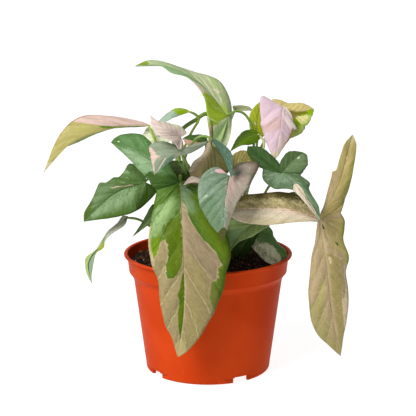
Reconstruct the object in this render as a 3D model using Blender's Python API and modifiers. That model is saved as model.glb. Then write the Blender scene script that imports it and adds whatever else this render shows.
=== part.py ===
"""Potted syngonium: a moulded nursery pot filled with potting mix, short rooted stems in the mix,
and one solid for each leaf, its blade and its stalk grown as one.

Metres, +Z up. The origin is the centre of the pot's underside, and the plant's fuller side faces -Y.
"""
import math

import bmesh
import bpy
import numpy as np

# Driving sizes of the pot
RIM_R = 0.076          # outside of the rolled rim
POT_H = 0.1082         # top of the rim
WALL = 0.0016          # wall thickness of the moulding
COLLAR_R = 0.0728      # stacking collar, just under the rim
COLLAR_FOOT_Z = 0.0915  # lower corner of the collar
BODY_TOP_R = 0.0672    # body where it leaves the collar
BODY_TOP_Z = 0.0855
BODY_FOOT_R = 0.0564   # body at its lower corner
FLOOR_R = 0.038        # flat middle of the underside
CHANNEL_H = 0.0062     # height of the drainage channel round that flat
INNER_RING_R = 0.0515  # inside of the foot ring
RIM_BEAD = (0.0018, 0.0013)      # half width and half height of the rolled rim
COLLAR_TAPER = 0.0013  # how much narrower the collar is at its foot
STEP_CORNER = 0.0019   # radius of the rounded step under the collar
FOOT_CORNER = (0.0030, 0.0034)   # the body's rounded lower corner, across and up
NOTCH_AZIMUTH = math.radians(-57.3)   # middle of the first notch, from +X
NOTCHES = 4
WIDE_NOTCH = (math.radians(16.8), (0.0538, 0.0620), (-0.004, 0.0052))   # half angle, radii, heights
DEEP_NOTCH = (math.radians(8.3), (0.0480, 0.0600), (-0.003, 0.0060))
DRAIN_R = 0.0042       # drain holes in the channel, one behind each notch
POT_STEPS = 40
SOIL_STEPS = 28

# Potting mix and stems
SOIL_Z = 0.1005        # surface of the mix at the wall
SOIL_CROWN = 0.0025    # how much higher the mix stands in the middle
SEAT = 0.0003          # gap between pieces that touch
STEM_R = 0.0032
STEM_ROOT_Z = 0.082    # lower end of a stem, in the mix

# Leaves
BLADE_THICK = 0.0007
FAN_ROWS = 3           # rows that fan out from the stalk's end
BODY_ROWS = 6          # rows that leave the rib further on
HALF_COLUMNS = 2
SLIVER = 0.00003       # shorter edges that a join leaves are closed up
BLUNT = 0.0012         # the tip of a blade is this much short of a true point

COLOURS = {
    "pot_plastic": ((0.62, 0.09, 0.03), 0.45),
    "potting_mix": ((0.03, 0.018, 0.012), 0.95),
    "stem_green": ((0.12, 0.22, 0.03), 0.5),
    "leaf_green": ((0.14, 0.25, 0.07), 0.45),
}

# Each stem: where it leaves the mix, and its top
STEMS = {
    "stem_left": [(-0.018, -0.010), (-0.023, -0.014, 0.162)],
    "stem_front": [(-0.001, -0.020), (-0.003, -0.026, 0.162)],
    "stem_right": [(0.019, -0.008), (0.026, -0.010, 0.166)],
    "stem_middle": [(0.001, 0.000), (0.003, -0.001, 0.156)],
    "stem_back": [(0.002, 0.021), (0.001, 0.025, 0.150)],
}

# Each leaf: its rib from the stalk's end to the tip, and the points that its left and right edges
# pass through, from the stalk's end round to the tip, with left and right as seen from above with
# the tip ahead. A leaf with long basal lobes has a notch on each side, and each lobe a rib of its
# own, an edge towards the stalk (inner) and an edge towards the notch (outer). stalk gives the
# stem, the height on it where the stalk leaves, and the points that it passes on its way up.
LEAVES = {
    "leaf_front": dict(
        rib=[(-0.024, -0.062, 0.185), (-0.021, -0.086, 0.131), (-0.0205, -0.090, 0.080),
             (-0.026, -0.092, 0.038)],
        left=[(0.018, -0.078, 0.135), (0.013, -0.086, 0.099), (-0.004, -0.090, 0.064)],
        right=[(-0.049, -0.078, 0.143), (-0.044, -0.086, 0.107), (-0.038, -0.090, 0.071)],
        notches=[(-0.003, -0.060, 0.176), (-0.044, -0.062, 0.177)],
        lobes=[dict(rib=[(-0.003, -0.060, 0.183), (0.015, -0.060, 0.173)],
                    inner=[(-0.009, -0.060, 0.188), (0.009, -0.058, 0.183)],
                    outer=[(0.005, -0.062, 0.164)]),
               dict(rib=[(-0.053, -0.062, 0.207), (-0.083, -0.058, 0.219)],
                    inner=[(-0.036, -0.062, 0.205), (-0.054, -0.054, 0.223), (-0.070, -0.054, 0.226),
                           (-0.079, -0.056, 0.223)],
                    outer=[(-0.055, -0.060, 0.191), (-0.070, -0.058, 0.207)])],
        stalk=("stem_middle", 0.144, [(0.006, -0.012, 0.198), (0.003, -0.019, 0.231),
                                      (-0.005, -0.030, 0.239), (-0.013, -0.046, 0.235),
                                      (-0.020, -0.057, 0.225), (-0.0235, -0.061, 0.205)])),
    "leaf_centre": dict(
        rib=[(0.018, -0.074, 0.193), (0.014, -0.092, 0.172), (0.013, -0.100, 0.143)],
        left=[(0.027, -0.068, 0.203), (0.044, -0.062, 0.202), (0.037, -0.078, 0.190),
              (0.024, -0.090, 0.171)],
        right=[(0.006, -0.074, 0.201), (-0.008, -0.084, 0.190), (-0.005, -0.092, 0.167)],
        stalk=("stem_front", 0.128, [(0.020, -0.048, 0.158), (0.021, -0.066, 0.184)])),
    "leaf_low_left": dict(
        rib=[(-0.054, -0.048, 0.182), (-0.080, -0.052, 0.174), (-0.107, -0.062, 0.154)],
        left=[(-0.044, -0.050, 0.177), (-0.048, -0.052, 0.169), (-0.065, -0.056, 0.158),
              (-0.089, -0.060, 0.153)],
        right=[(-0.055, -0.046, 0.190), (-0.067, -0.044, 0.198), (-0.075, -0.046, 0.186),
               (-0.092, -0.050, 0.184), (-0.101, -0.056, 0.167)],
        stalk=("stem_left", 0.133, [(-0.036, -0.028, 0.176), (-0.048, -0.040, 0.186)])),
    "leaf_far_left": dict(
        rib=[(-0.050, -0.036, 0.230), (-0.085, -0.042, 0.228), (-0.117, -0.048, 0.217),
             (-0.142, -0.048, 0.191)],
        left=[(-0.064, -0.026, 0.227), (-0.094, -0.026, 0.223), (-0.122, -0.036, 0.211)],
        right=[(-0.059, -0.033, 0.233), (-0.085, -0.036, 0.238), (-0.111, -0.040, 0.238),
               (-0.129, -0.046, 0.221)],
        stalk=("stem_left", 0.142, [(-0.037, -0.018, 0.184), (-0.044, -0.040, 0.213)])),
    "leaf_grey": dict(
        rib=[(-0.024, -0.080, 0.217), (-0.036, -0.086, 0.211), (-0.045, -0.088, 0.197)],
        left=[(-0.012, -0.074, 0.220), (0.001, -0.070, 0.222), (-0.013, -0.076, 0.214),
              (-0.026, -0.082, 0.211), (-0.038, -0.088, 0.203)],
        right=[(-0.027, -0.078, 0.220), (-0.040, -0.078, 0.224), (-0.049, -0.080, 0.219),
               (-0.047, -0.086, 0.207)],
        stalk=("stem_front", 0.139, [(-0.009, -0.044, 0.168), (-0.013, -0.056, 0.186),
                                     (-0.0175, -0.063, 0.200), (-0.021, -0.072, 0.210)])),
    "leaf_pink_small": dict(
        rib=[(-0.023, -0.076, 0.227), (-0.034, -0.086, 0.235), (-0.048, -0.084, 0.247)],
        left=[(-0.022, -0.082, 0.221), (-0.024, -0.084, 0.218), (-0.029, -0.088, 0.225),
              (-0.040, -0.090, 0.230), (-0.047, -0.088, 0.238)],
        right=[(-0.018, -0.074, 0.230), (-0.023, -0.076, 0.236), (-0.034, -0.080, 0.240),
               (-0.043, -0.082, 0.242)],
        stalk=("stem_front", 0.157, [(-0.003, -0.042, 0.200), (-0.013, -0.066, 0.226)])),
    "leaf_twisted": dict(
        rib=[(-0.015, -0.042, 0.248), (-0.028, -0.048, 0.250), (-0.043, -0.054, 0.241)],
        left=[(-0.019, -0.046, 0.247), (-0.029, -0.054, 0.245), (-0.035, -0.056, 0.242)],
        right=[(-0.021, -0.038, 0.250), (-0.030, -0.042, 0.250), (-0.037, -0.048, 0.246)],
        stalk=("stem_left", 0.157, [(-0.017, -0.026, 0.198), (-0.014, -0.031, 0.222),
                                    (-0.009, -0.030, 0.239)])),
    "leaf_top": dict(
        rib=[(0.018, -0.024, 0.236), (-0.004, -0.022, 0.262), (-0.031, -0.019, 0.278),
             (-0.064, -0.016, 0.279)],
        left=[(0.012, -0.034, 0.221), (0.006, -0.038, 0.208), (-0.001, -0.036, 0.240),
              (-0.004, -0.034, 0.255), (-0.016, -0.028, 0.270), (-0.032, -0.024, 0.274),
              (-0.043, -0.020, 0.280)],
        right=[(0.014, -0.028, 0.219), (0.019, -0.030, 0.208), (0.023, -0.022, 0.224),
               (0.020, -0.010, 0.246), (0.011, -0.008, 0.263), (-0.004, -0.010, 0.271),
               (-0.026, -0.012, 0.278), (-0.049, -0.014, 0.284)],
        stalk=("stem_right", 0.160, [(0.034, -0.012, 0.182), (0.040, -0.017, 0.206),
                                     (0.039, -0.018, 0.224), (0.033, -0.018, 0.236),
                                     (0.025, -0.021, 0.240)])),
    "leaf_pink_top": dict(
        rib=[(0.065, -0.034, 0.246), (0.062, -0.048, 0.228), (0.058, -0.052, 0.204)],
        left=[(0.070, -0.032, 0.245), (0.077, -0.040, 0.230), (0.065, -0.050, 0.214)],
        right=[(0.056, -0.030, 0.250), (0.046, -0.034, 0.254), (0.045, -0.042, 0.243),
               (0.050, -0.050, 0.221)],
        stalk=("stem_right", 0.148, [(0.047, -0.020, 0.186), (0.053, -0.026, 0.222),
                                     (0.061, -0.029, 0.240)])),
    "leaf_lime_top": dict(
        rib=[(0.064, -0.018, 0.243), (0.080, -0.018, 0.237), (0.094, -0.012, 0.238)],
        left=[(0.062, -0.014, 0.248), (0.075, -0.012, 0.246), (0.087, -0.010, 0.244)],
        right=[(0.068, -0.026, 0.228), (0.075, -0.030, 0.217), (0.086, -0.026, 0.222),
               (0.091, -0.020, 0.231)],
        stalk=("stem_right", 0.154, [(0.048, -0.006, 0.190), (0.058, -0.008, 0.224)])),
    "leaf_olive_back": dict(
        rib=[(0.044, -0.010, 0.212), (0.044, -0.006, 0.229), (0.048, 0.000, 0.247)],
        left=[(0.037, -0.008, 0.221), (0.038, -0.004, 0.237)],
        right=[(0.053, -0.004, 0.220), (0.055, 0.002, 0.239)],
        stalk=("stem_back", 0.148, [(0.022, 0.012, 0.176), (0.040, 0.000, 0.192)])),
    "leaf_wedge": dict(
        rib=[(0.045, -0.026, 0.221), (0.033, -0.032, 0.218), (0.019, -0.040, 0.208)],
        left=[(0.042, -0.034, 0.214), (0.029, -0.040, 0.213)],
        right=[(0.039, -0.022, 0.224), (0.028, -0.028, 0.221)],
        stalk=("stem_right", 0.136, [(0.046, -0.026, 0.180), (0.049, -0.027, 0.212)])),
    "leaf_dark_right": dict(
        rib=[(0.062, -0.062, 0.192), (0.079, -0.074, 0.180), (0.095, -0.086, 0.157)],
        left=[(0.086, -0.070, 0.187), (0.093, -0.080, 0.175)],
        right=[(0.061, -0.066, 0.180), (0.072, -0.076, 0.181), (0.086, -0.084, 0.165)],
        notches=[(0.079, -0.062, 0.191), (0.047, -0.058, 0.192)],
        lobes=[dict(rib=[(0.071, -0.058, 0.201), (0.081, -0.054, 0.210)],
                    inner=[(0.065, -0.056, 0.201), (0.072, -0.052, 0.209)],
                    outer=[(0.085, -0.058, 0.199), (0.085, -0.056, 0.207)]),
               dict(rib=[(0.047, -0.054, 0.203), (0.034, -0.048, 0.214)],
                    inner=[(0.057, -0.056, 0.203), (0.044, -0.050, 0.212)],
                    outer=[(0.041, -0.054, 0.199), (0.034, -0.050, 0.208)])],
        stalk=("stem_right", 0.130, [(0.046, -0.034, 0.164), (0.057, -0.050, 0.184)])),
    "leaf_right": dict(
        rib=[(0.096, -0.058, 0.152), (0.102, -0.066, 0.116), (0.108, -0.070, 0.069),
             (0.116, -0.068, 0.031)],
        left=[(0.120, -0.056, 0.136), (0.124, -0.062, 0.111), (0.121, -0.066, 0.082),
              (0.121, -0.068, 0.051)],
        right=[(0.090, -0.062, 0.115), (0.089, -0.066, 0.082), (0.094, -0.068, 0.049)],
        notches=[(0.115, -0.052, 0.156), (0.092, -0.060, 0.141)],
        lobes=[dict(rib=[(0.113, -0.046, 0.178), (0.126, -0.030, 0.221)],
                    inner=[(0.101, -0.050, 0.163), (0.109, -0.040, 0.190), (0.119, -0.034, 0.201)],
                    outer=[(0.125, -0.044, 0.182), (0.131, -0.034, 0.210)]),
               dict(rib=[(0.066, -0.062, 0.161), (0.021, -0.062, 0.162)],
                    inner=[(0.084, -0.056, 0.170), (0.060, -0.054, 0.175), (0.032, -0.056, 0.171)],
                    outer=[(0.083, -0.064, 0.151), (0.060, -0.066, 0.149), (0.030, -0.066, 0.153)])],
        stalk=("stem_right", 0.124, [(0.054, -0.032, 0.160), (0.078, -0.043, 0.172),
                                     (0.091, -0.050, 0.164)])),
    "leaf_under_centre": dict(
        rib=[(0.049, -0.048, 0.149), (0.033, -0.056, 0.143), (0.018, -0.068, 0.125)],
        left=[(0.055, -0.050, 0.146), (0.040, -0.060, 0.138), (0.026, -0.066, 0.133)],
        right=[(0.038, -0.046, 0.154), (0.017, -0.056, 0.147)],
        stalk=("stem_right", 0.118, [(0.038, -0.026, 0.142), (0.048, -0.040, 0.151)])),
    "leaf_at_rim": dict(
        rib=[(0.037, -0.016, 0.129), (0.053, -0.026, 0.123), (0.063, -0.030, 0.106)],
        left=[(0.047, -0.010, 0.130), (0.056, -0.008, 0.133), (0.066, -0.015, 0.122),
              (0.068, -0.023, 0.111)],
        right=[(0.034, -0.020, 0.125), (0.044, -0.030, 0.117), (0.056, -0.035, 0.107)],
        stalk=("stem_right", 0.112, [(0.030, -0.013, 0.126)])),
    "leaf_narrow": dict(
        rib=[(-0.070, -0.044, 0.151), (-0.088, -0.050, 0.133), (-0.102, -0.052, 0.113),
             (-0.102, -0.052, 0.093)],
        left=[(-0.072, -0.048, 0.145), (-0.083, -0.052, 0.134), (-0.098, -0.054, 0.113)],
        right=[(-0.077, -0.044, 0.149), (-0.092, -0.048, 0.133), (-0.105, -0.050, 0.112)],
        stalk=("stem_left", 0.118, [(-0.046, -0.038, 0.138), (-0.060, -0.044, 0.148)])),
    "leaf_small_low": dict(
        rib=[(-0.043, -0.050, 0.163), (-0.054, -0.054, 0.148), (-0.066, -0.054, 0.135)],
        left=[(-0.044, -0.054, 0.152), (-0.053, -0.056, 0.145)],
        right=[(-0.049, -0.050, 0.162), (-0.058, -0.052, 0.146)],
        stalk=("stem_left", 0.125, [(-0.034, -0.034, 0.155)])),
    "leaf_blue": dict(
        rib=[(0.003, -0.068, 0.224), (0.013, -0.078, 0.217), (0.020, -0.084, 0.201)],
        left=[(0.008, -0.074, 0.224), (0.018, -0.082, 0.217), (0.021, -0.084, 0.209)],
        right=[(0.007, -0.068, 0.217), (0.013, -0.076, 0.209)],
        stalk=("stem_front", 0.150, [(-0.007, -0.044, 0.190), (-0.011, -0.061, 0.213),
                                     (-0.007, -0.066, 0.224), (-0.002, -0.067, 0.226)])),
    "leaf_tan": dict(
        rib=[(0.003, -0.058, 0.216), (-0.004, -0.064, 0.204), (-0.015, -0.066, 0.192)],
        left=[(0.012, -0.060, 0.212), (0.018, -0.066, 0.200), (0.001, -0.068, 0.195)],
        right=[(0.006, -0.052, 0.226), (0.003, -0.048, 0.236), (0.000, -0.053, 0.222),
               (-0.003, -0.058, 0.211), (-0.012, -0.062, 0.202)],
        stalk=("stem_front", 0.153, [(0.006, -0.036, 0.186), (0.006, -0.048, 0.208)])),
    "leaf_olive_centre": dict(
        rib=[(0.021, -0.060, 0.193), (0.030, -0.054, 0.202), (0.045, -0.044, 0.202)],
        left=[(0.018, -0.057, 0.203), (0.027, -0.048, 0.210), (0.038, -0.043, 0.207)],
        right=[(0.031, -0.057, 0.196), (0.041, -0.049, 0.197)],
        stalk=("stem_front", 0.138, [(0.024, -0.040, 0.166)])),
    "leaf_pale_left": dict(
        rib=[(-0.030, -0.030, 0.219), (-0.043, -0.032, 0.223), (-0.057, -0.032, 0.221)],
        left=[(-0.037, -0.034, 0.214), (-0.050, -0.034, 0.215)],
        right=[(-0.035, -0.028, 0.228), (-0.050, -0.028, 0.229)],
        stalk=("stem_left", 0.151, [(-0.027, -0.022, 0.190)])),
    "leaf_dark_edge": dict(
        rib=[(0.000, -0.046, 0.221), (-0.010, -0.049, 0.225), (-0.022, -0.050, 0.226)],
        left=[(-0.006, -0.051, 0.218), (-0.017, -0.053, 0.220)],
        right=[(-0.003, -0.042, 0.226), (-0.015, -0.044, 0.228)],
        stalk=("stem_middle", 0.150, [(-0.002, -0.022, 0.188)])),
    "leaf_dark_behind": dict(
        rib=[(-0.014, -0.047, 0.193), (-0.026, -0.049, 0.194), (-0.040, -0.047, 0.193)],
        left=[(-0.015, -0.051, 0.185), (-0.029, -0.051, 0.182)],
        right=[(-0.019, -0.043, 0.199), (-0.033, -0.043, 0.200)],
        stalk=("stem_left", 0.130, [(-0.015, -0.034, 0.168)])),
    "leaf_pink_edge": dict(
        rib=[(-0.001, -0.062, 0.190), (-0.011, -0.066, 0.189), (-0.021, -0.068, 0.184)],
        left=[(-0.004, -0.064, 0.183), (-0.014, -0.068, 0.185)],
        right=[(-0.007, -0.062, 0.193), (-0.016, -0.066, 0.190)],
        stalk=("stem_front", 0.123, [(0.003, -0.040, 0.176), (0.003, -0.054, 0.192)])),
    "leaf_top_edge": dict(
        rib=[(0.023, -0.004, 0.238), (0.031, 0.008, 0.238), (0.037, 0.024, 0.237)],
        left=[(0.022, 0.006, 0.240), (0.028, 0.018, 0.239)],
        right=[(0.033, -0.005, 0.238), (0.039, 0.008, 0.236)],
        stalk=("stem_middle", 0.152, [(0.012, 0.006, 0.205)])),
    "leaf_back_left": dict(
        rib=[(-0.030, 0.044, 0.152), (-0.042, 0.072, 0.134), (-0.054, 0.094, 0.078)],
        left=[(-0.030, 0.030, 0.148), (-0.044, 0.036, 0.138), (-0.060, 0.064, 0.110)],
        right=[(-0.018, 0.046, 0.150), (-0.010, 0.064, 0.142), (-0.030, 0.092, 0.108)],
        stalk=("stem_back", 0.134, [(-0.016, 0.036, 0.152)])),
    "leaf_back_middle": dict(
        rib=[(0.002, 0.058, 0.158), (0.004, 0.082, 0.136), (0.006, 0.100, 0.070)],
        left=[(-0.008, 0.050, 0.154), (-0.014, 0.078, 0.140), (-0.010, 0.098, 0.104)],
        right=[(0.012, 0.050, 0.154), (0.020, 0.078, 0.142), (0.020, 0.098, 0.106)],
        stalk=("stem_back", 0.140, [(0.002, 0.044, 0.158)])),
    "leaf_back_right": dict(
        rib=[(0.032, 0.040, 0.148), (0.044, 0.068, 0.132), (0.050, 0.092, 0.080)],
        left=[(0.022, 0.044, 0.146), (0.024, 0.066, 0.138), (0.034, 0.092, 0.108)],
        right=[(0.036, 0.028, 0.144), (0.050, 0.040, 0.134), (0.060, 0.068, 0.108)],
        stalk=("stem_back", 0.128, [(0.018, 0.034, 0.148)])),
}
STALK_R = {"leaf_front": 0.0021}
PLAIN_STALK_R = 0.0013


def clear_scene():
    for ob in list(bpy.data.objects):
        bpy.data.objects.remove(ob, do_unlink=True)


def new_collection(name):
    collection = bpy.data.collections.new(name)
    bpy.context.scene.collection.children.link(collection)
    return collection


def material(name):
    colour, roughness = COLOURS[name]
    mat = bpy.data.materials.new(name)
    mat.use_nodes = True
    shader = mat.node_tree.nodes["Principled BSDF"]
    shader.inputs["Base Color"].default_value = (*colour, 1.0)
    shader.inputs["Roughness"].default_value = roughness
    shader.inputs["Metallic"].default_value = 0.0
    return mat


def add_object(name, data, collection, mat=None):
    ob = bpy.data.objects.new(name, data)
    collection.objects.link(ob)
    if mat:
        data.materials.append(mat)
    return ob


def make_cutter(ob):
    ob.hide_render = True
    ob.display_type = "WIRE"
    return ob


def boolean(ob, other, operation, solver="EXACT"):
    mod = ob.modifiers.new(other.name, "BOOLEAN")
    mod.operation = operation
    mod.solver = solver
    mod.object = other
    return mod


def turned(name, profile, collection, mat=None, steps=POT_STEPS):
    """A profile of (radius, height) points, turned about Z."""
    mesh = bpy.data.meshes.new(name)
    verts = [(r, 0.0, z) for r, z in profile]
    mesh.from_pydata(verts, [(i, i + 1) for i in range(len(verts) - 1)], [])
    ob = add_object(name, mesh, collection, mat)
    screw = ob.modifiers.new("turn", "SCREW")
    screw.steps = steps
    screw.render_steps = steps
    screw.use_merge_vertices = True
    screw.merge_threshold = 0.0001
    screw.use_smooth_shade = True
    return ob


def arc(centre, radii, start, end, count):
    """Points of an ellipse's arc in the profile plane, angles in degrees from +X."""
    angles = np.radians(np.linspace(start, end, count))
    return [(centre[0] + radii[0] * math.cos(a), centre[1] + radii[1] * math.sin(a)) for a in angles]


def pot_outline():
    """The pot's wall as one closed turned section: inside floor, wall, rim, body, foot, underside."""
    bead_centre = (RIM_R - RIM_BEAD[0], POT_H - RIM_BEAD[1])
    floor_z = CHANNEL_H + WALL
    inside = [(0.0, WALL), (FLOOR_R - 2 * WALL, WALL), (FLOOR_R, floor_z),
              (BODY_FOOT_R - 3 * WALL, floor_z), (BODY_FOOT_R - WALL, floor_z + 2 * WALL),
              (BODY_TOP_R - WALL, BODY_TOP_Z - WALL), (COLLAR_R - 2 * WALL, COLLAR_FOOT_Z),
              (COLLAR_R - WALL, COLLAR_FOOT_Z + 2 * WALL)]
    rim = arc(bead_centre, RIM_BEAD, 170, -90, 7)
    collar = [(COLLAR_R, POT_H - 2 * RIM_BEAD[1] - 0.0006), (COLLAR_R - COLLAR_TAPER, COLLAR_FOOT_Z + 0.0012)]
    step_centre = (COLLAR_R - COLLAR_TAPER - STEP_CORNER - 0.0001, COLLAR_FOOT_Z + 0.0010)
    step = arc(step_centre, (STEP_CORNER, STEP_CORNER), -15, -70, 3)
    body = [(BODY_TOP_R + 0.0006, BODY_TOP_Z + 0.0012), (BODY_TOP_R, BODY_TOP_Z - 0.0010)]
    corner = arc((BODY_FOOT_R - FOOT_CORNER[0], FOOT_CORNER[1]), FOOT_CORNER, 0, -80, 4)
    ring = [(INNER_RING_R, 0.0), (INNER_RING_R, CHANNEL_H), (FLOOR_R + 0.0012, CHANNEL_H),
            (FLOOR_R, 0.0), (0.0, 0.0)]
    return list(reversed(list(reversed(ring)) + list(reversed(corner)) + list(reversed(body))
                         + list(reversed(step)) + list(reversed(collar)) + list(reversed(rim))
                         + list(reversed(inside))))


def wedge_cutter(name, azimuth, half_angle, radii, heights, collection):
    """A cutter shaped as a sector of a ring, between two radii and two heights."""
    bm = bmesh.new()
    bmesh.ops.create_cube(bm, size=1.0)
    middle_r = sum(radii) / 2
    size = (radii[1] - radii[0], 2 * middle_r * math.tan(half_angle), heights[1] - heights[0])
    for v in bm.verts:
        x, y, z = v.co.x * size[0] + middle_r, v.co.y * size[1], v.co.z * size[2] + sum(heights) / 2
        v.co = (x * math.cos(azimuth) - y * math.sin(azimuth),
                x * math.sin(azimuth) + y * math.cos(azimuth), z)
    mesh = bpy.data.meshes.new(name)
    bm.to_mesh(mesh)
    bm.free()
    return make_cutter(add_object(name, mesh, collection))


def drain_cutter(name, azimuth, collection):
    """A round cutter through the floor of the drainage channel."""
    middle_r = (FLOOR_R + INNER_RING_R) / 2 + 0.0005
    bm = bmesh.new()
    bmesh.ops.create_cone(bm, cap_ends=True, segments=12, radius1=DRAIN_R, radius2=DRAIN_R, depth=0.012)
    bmesh.ops.translate(bm, verts=bm.verts,
                        vec=(middle_r * math.cos(azimuth), middle_r * math.sin(azimuth), CHANNEL_H))
    mesh = bpy.data.meshes.new(name)
    bm.to_mesh(mesh)
    bm.free()
    return make_cutter(add_object(name, mesh, collection))


def make_pot(parts, cutters):
    pot = turned("pot", pot_outline(), parts, material("pot_plastic"))
    for i in range(NOTCHES):
        azimuth = NOTCH_AZIMUTH + i * 2 * math.pi / NOTCHES
        boolean(pot, wedge_cutter(f"wide_notch_{i}", azimuth, *WIDE_NOTCH, cutters), "DIFFERENCE")
        boolean(pot, wedge_cutter(f"deep_notch_{i}", azimuth, *DEEP_NOTCH, cutters), "DIFFERENCE")
        boolean(pot, drain_cutter(f"drain_hole_{i}", azimuth, cutters), "DIFFERENCE")
    return pot


def make_soil(parts, stems):
    """The mix fills the pot to just under the collar's top, and the stems stand in sockets in it."""
    floor_z = CHANNEL_H + WALL + SEAT
    wall_top = COLLAR_R - WALL - 0.0008
    slope = (BODY_TOP_R - BODY_FOOT_R) / (BODY_TOP_Z - floor_z)
    profile = [(0.0, WALL + SEAT), (FLOOR_R - 2 * WALL - SEAT, WALL + SEAT),
               (FLOOR_R - SEAT, floor_z), (BODY_FOOT_R - 3 * WALL - SEAT, floor_z),
               (BODY_FOOT_R - WALL - 2 * SEAT, floor_z + 2 * WALL + SEAT),
               (BODY_TOP_R - WALL - 2 * SEAT, BODY_TOP_Z - WALL - SEAT),
               (COLLAR_R - 2 * WALL - 2 * SEAT, COLLAR_FOOT_Z),
               (wall_top, COLLAR_FOOT_Z + 2 * WALL + SEAT), (wall_top, SOIL_Z - 0.001),
               (wall_top - 0.003, SOIL_Z), (0.035, SOIL_Z + 0.6 * SOIL_CROWN), (0.0, SOIL_Z + SOIL_CROWN)]
    soil = turned("soil", list(reversed(profile)), parts, material("potting_mix"), steps=SOIL_STEPS)
    for socket in stems:
        boolean(soil, socket, "DIFFERENCE")
    return soil


def smooth_route(points, count):
    """Points evenly spaced along a smooth curve through the given ones."""
    known = [np.array(p, dtype=float) for p in points]
    known = [2 * known[0] - known[1]] + known + [2 * known[-1] - known[-2]]
    fine = []
    for a, b, c, d in zip(known, known[1:], known[2:], known[3:]):
        for t in np.linspace(0, 1, 16, endpoint=False):
            fine.append(0.5 * (2 * b + (c - a) * t + (2 * a - 5 * b + 4 * c - d) * t ** 2
                               + (3 * b - a - 3 * c + d) * t ** 3))
    fine.append(known[-2])
    return resample(np.array(fine), np.linspace(0, 1, count))


def resample(line, places):
    """The line's points at the given shares of its length."""
    steps = np.linalg.norm(np.diff(line, axis=0), axis=1)
    length = np.concatenate([[0.0], np.cumsum(steps)])
    return np.stack([np.interp(np.asarray(places) * length[-1], length, line[:, k]) for k in range(3)], -1)


def tube(name, points, radius, collection, count):
    """A round stalk or stem through the given points, as a closed mesh."""
    curve = bpy.data.curves.new(name, "CURVE")
    curve.dimensions = "3D"
    curve.bevel_depth = radius
    curve.bevel_resolution = 2
    curve.use_fill_caps = True
    spline = curve.splines.new("POLY")
    route = smooth_route(points, count)
    spline.points.add(len(route) - 1)
    for target, p in zip(spline.points, route):
        target.co = (*p, 1.0)
    source = add_object(name + "_route", curve, collection)
    bpy.context.view_layer.update()
    mesh = bpy.data.meshes.new_from_object(source.evaluated_get(bpy.context.evaluated_depsgraph_get()))
    bpy.data.objects.remove(source, do_unlink=True)
    bm = bmesh.new()
    bm.from_mesh(mesh)
    bmesh.ops.remove_doubles(bm, verts=bm.verts, dist=1e-6)
    bmesh.ops.recalc_face_normals(bm, faces=bm.faces)
    bm.to_mesh(mesh)
    bm.free()
    mesh.name = name
    return mesh


def stem_line(name):
    (x, y), top = STEMS[name]
    return [(x, y, STEM_ROOT_Z), (x, y, SOIL_Z), top]


def make_stems(parts, cutters):
    """Short rooted stems, each with a socket cutter a little wider than itself."""
    green = material("stem_green")
    sockets = []
    for name in STEMS:
        mesh = tube(name, stem_line(name), STEM_R, parts, 7)
        add_object(name, mesh, parts, green)
        line = stem_line(name)
        line[0] = (line[0][0], line[0][1], STEM_ROOT_Z - SEAT)
        socket = tube(name + "_socket", line, STEM_R + SEAT, cutters, 7)
        sockets.append(make_cutter(add_object(name + "_socket", socket, cutters)))
    return sockets


def half_places(rib, edge):
    """Where along its edge each row of a half blade ends: a fan about the stalk's end, then rows
    that leave the rib evenly and slant forward as the side veins do."""
    chord = rib[-1] - rib[0]
    length = np.linalg.norm(chord)
    ahead = (edge - rib[0]) @ (chord / length)
    aside = np.linalg.norm(edge - rib[0] - np.outer(ahead, chord / length), axis=1)
    met = np.maximum.accumulate(np.clip((ahead - 0.8 * aside) / length, 0, 1))
    met[-1] = 1.0
    share = np.linspace(0, 1, len(edge))
    first = max(share[np.flatnonzero(met <= met[0] + 1e-6)[-1]], 0.12)
    fan = np.linspace(0, first, FAN_ROWS + 1)
    rest = [max(np.interp(k / BODY_ROWS, met, share), first + 0.4 * (1 - first) * k / BODY_ROWS)
            for k in range(1, BODY_ROWS)]
    return np.concatenate([fan, rest, [1.0 - BLUNT / np.linalg.norm(np.diff(edge, axis=0), axis=1).sum()]])


def add_half(bm, rib, edge, cup):
    """Half a blade, from its rib out to its edge, as a grid laid on the rows."""
    places = half_places(rib, edge)
    ends = resample(edge, places)
    starts = resample(rib, np.concatenate([np.zeros(FAN_ROWS), np.linspace(0, 1, BODY_ROWS + 1)]))
    rows = len(places) - 1
    grid = bmesh.ops.create_grid(bm, x_segments=rows, y_segments=HALF_COLUMNS, size=0.5)
    along = rib[-1] - rib[0]
    for v in grid["verts"]:
        row = int(round((v.co.x + 0.5) * rows))
        share = v.co.y + 0.5
        across = ends[row] - starts[row]
        up = np.cross(along, across)
        size = np.linalg.norm(up)
        lift = cup * 4 * share * (1 - share) * math.sin(math.pi * row / rows)
        bulge = up / size * lift * np.linalg.norm(across) if size > 1e-9 else 0.0
        v.co = starts[row] + across * share + bulge


def add_blade(bm, rib, halves, cup):
    """Both halves of a blade; halves gives the edge points, and -1 turns the bulge over."""
    rib_line = smooth_route(rib, 40)
    for points, side in halves:
        edge = smooth_route(points + [rib[-1]], 80)
        add_half(bm, rib_line, edge, cup * side)


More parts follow.
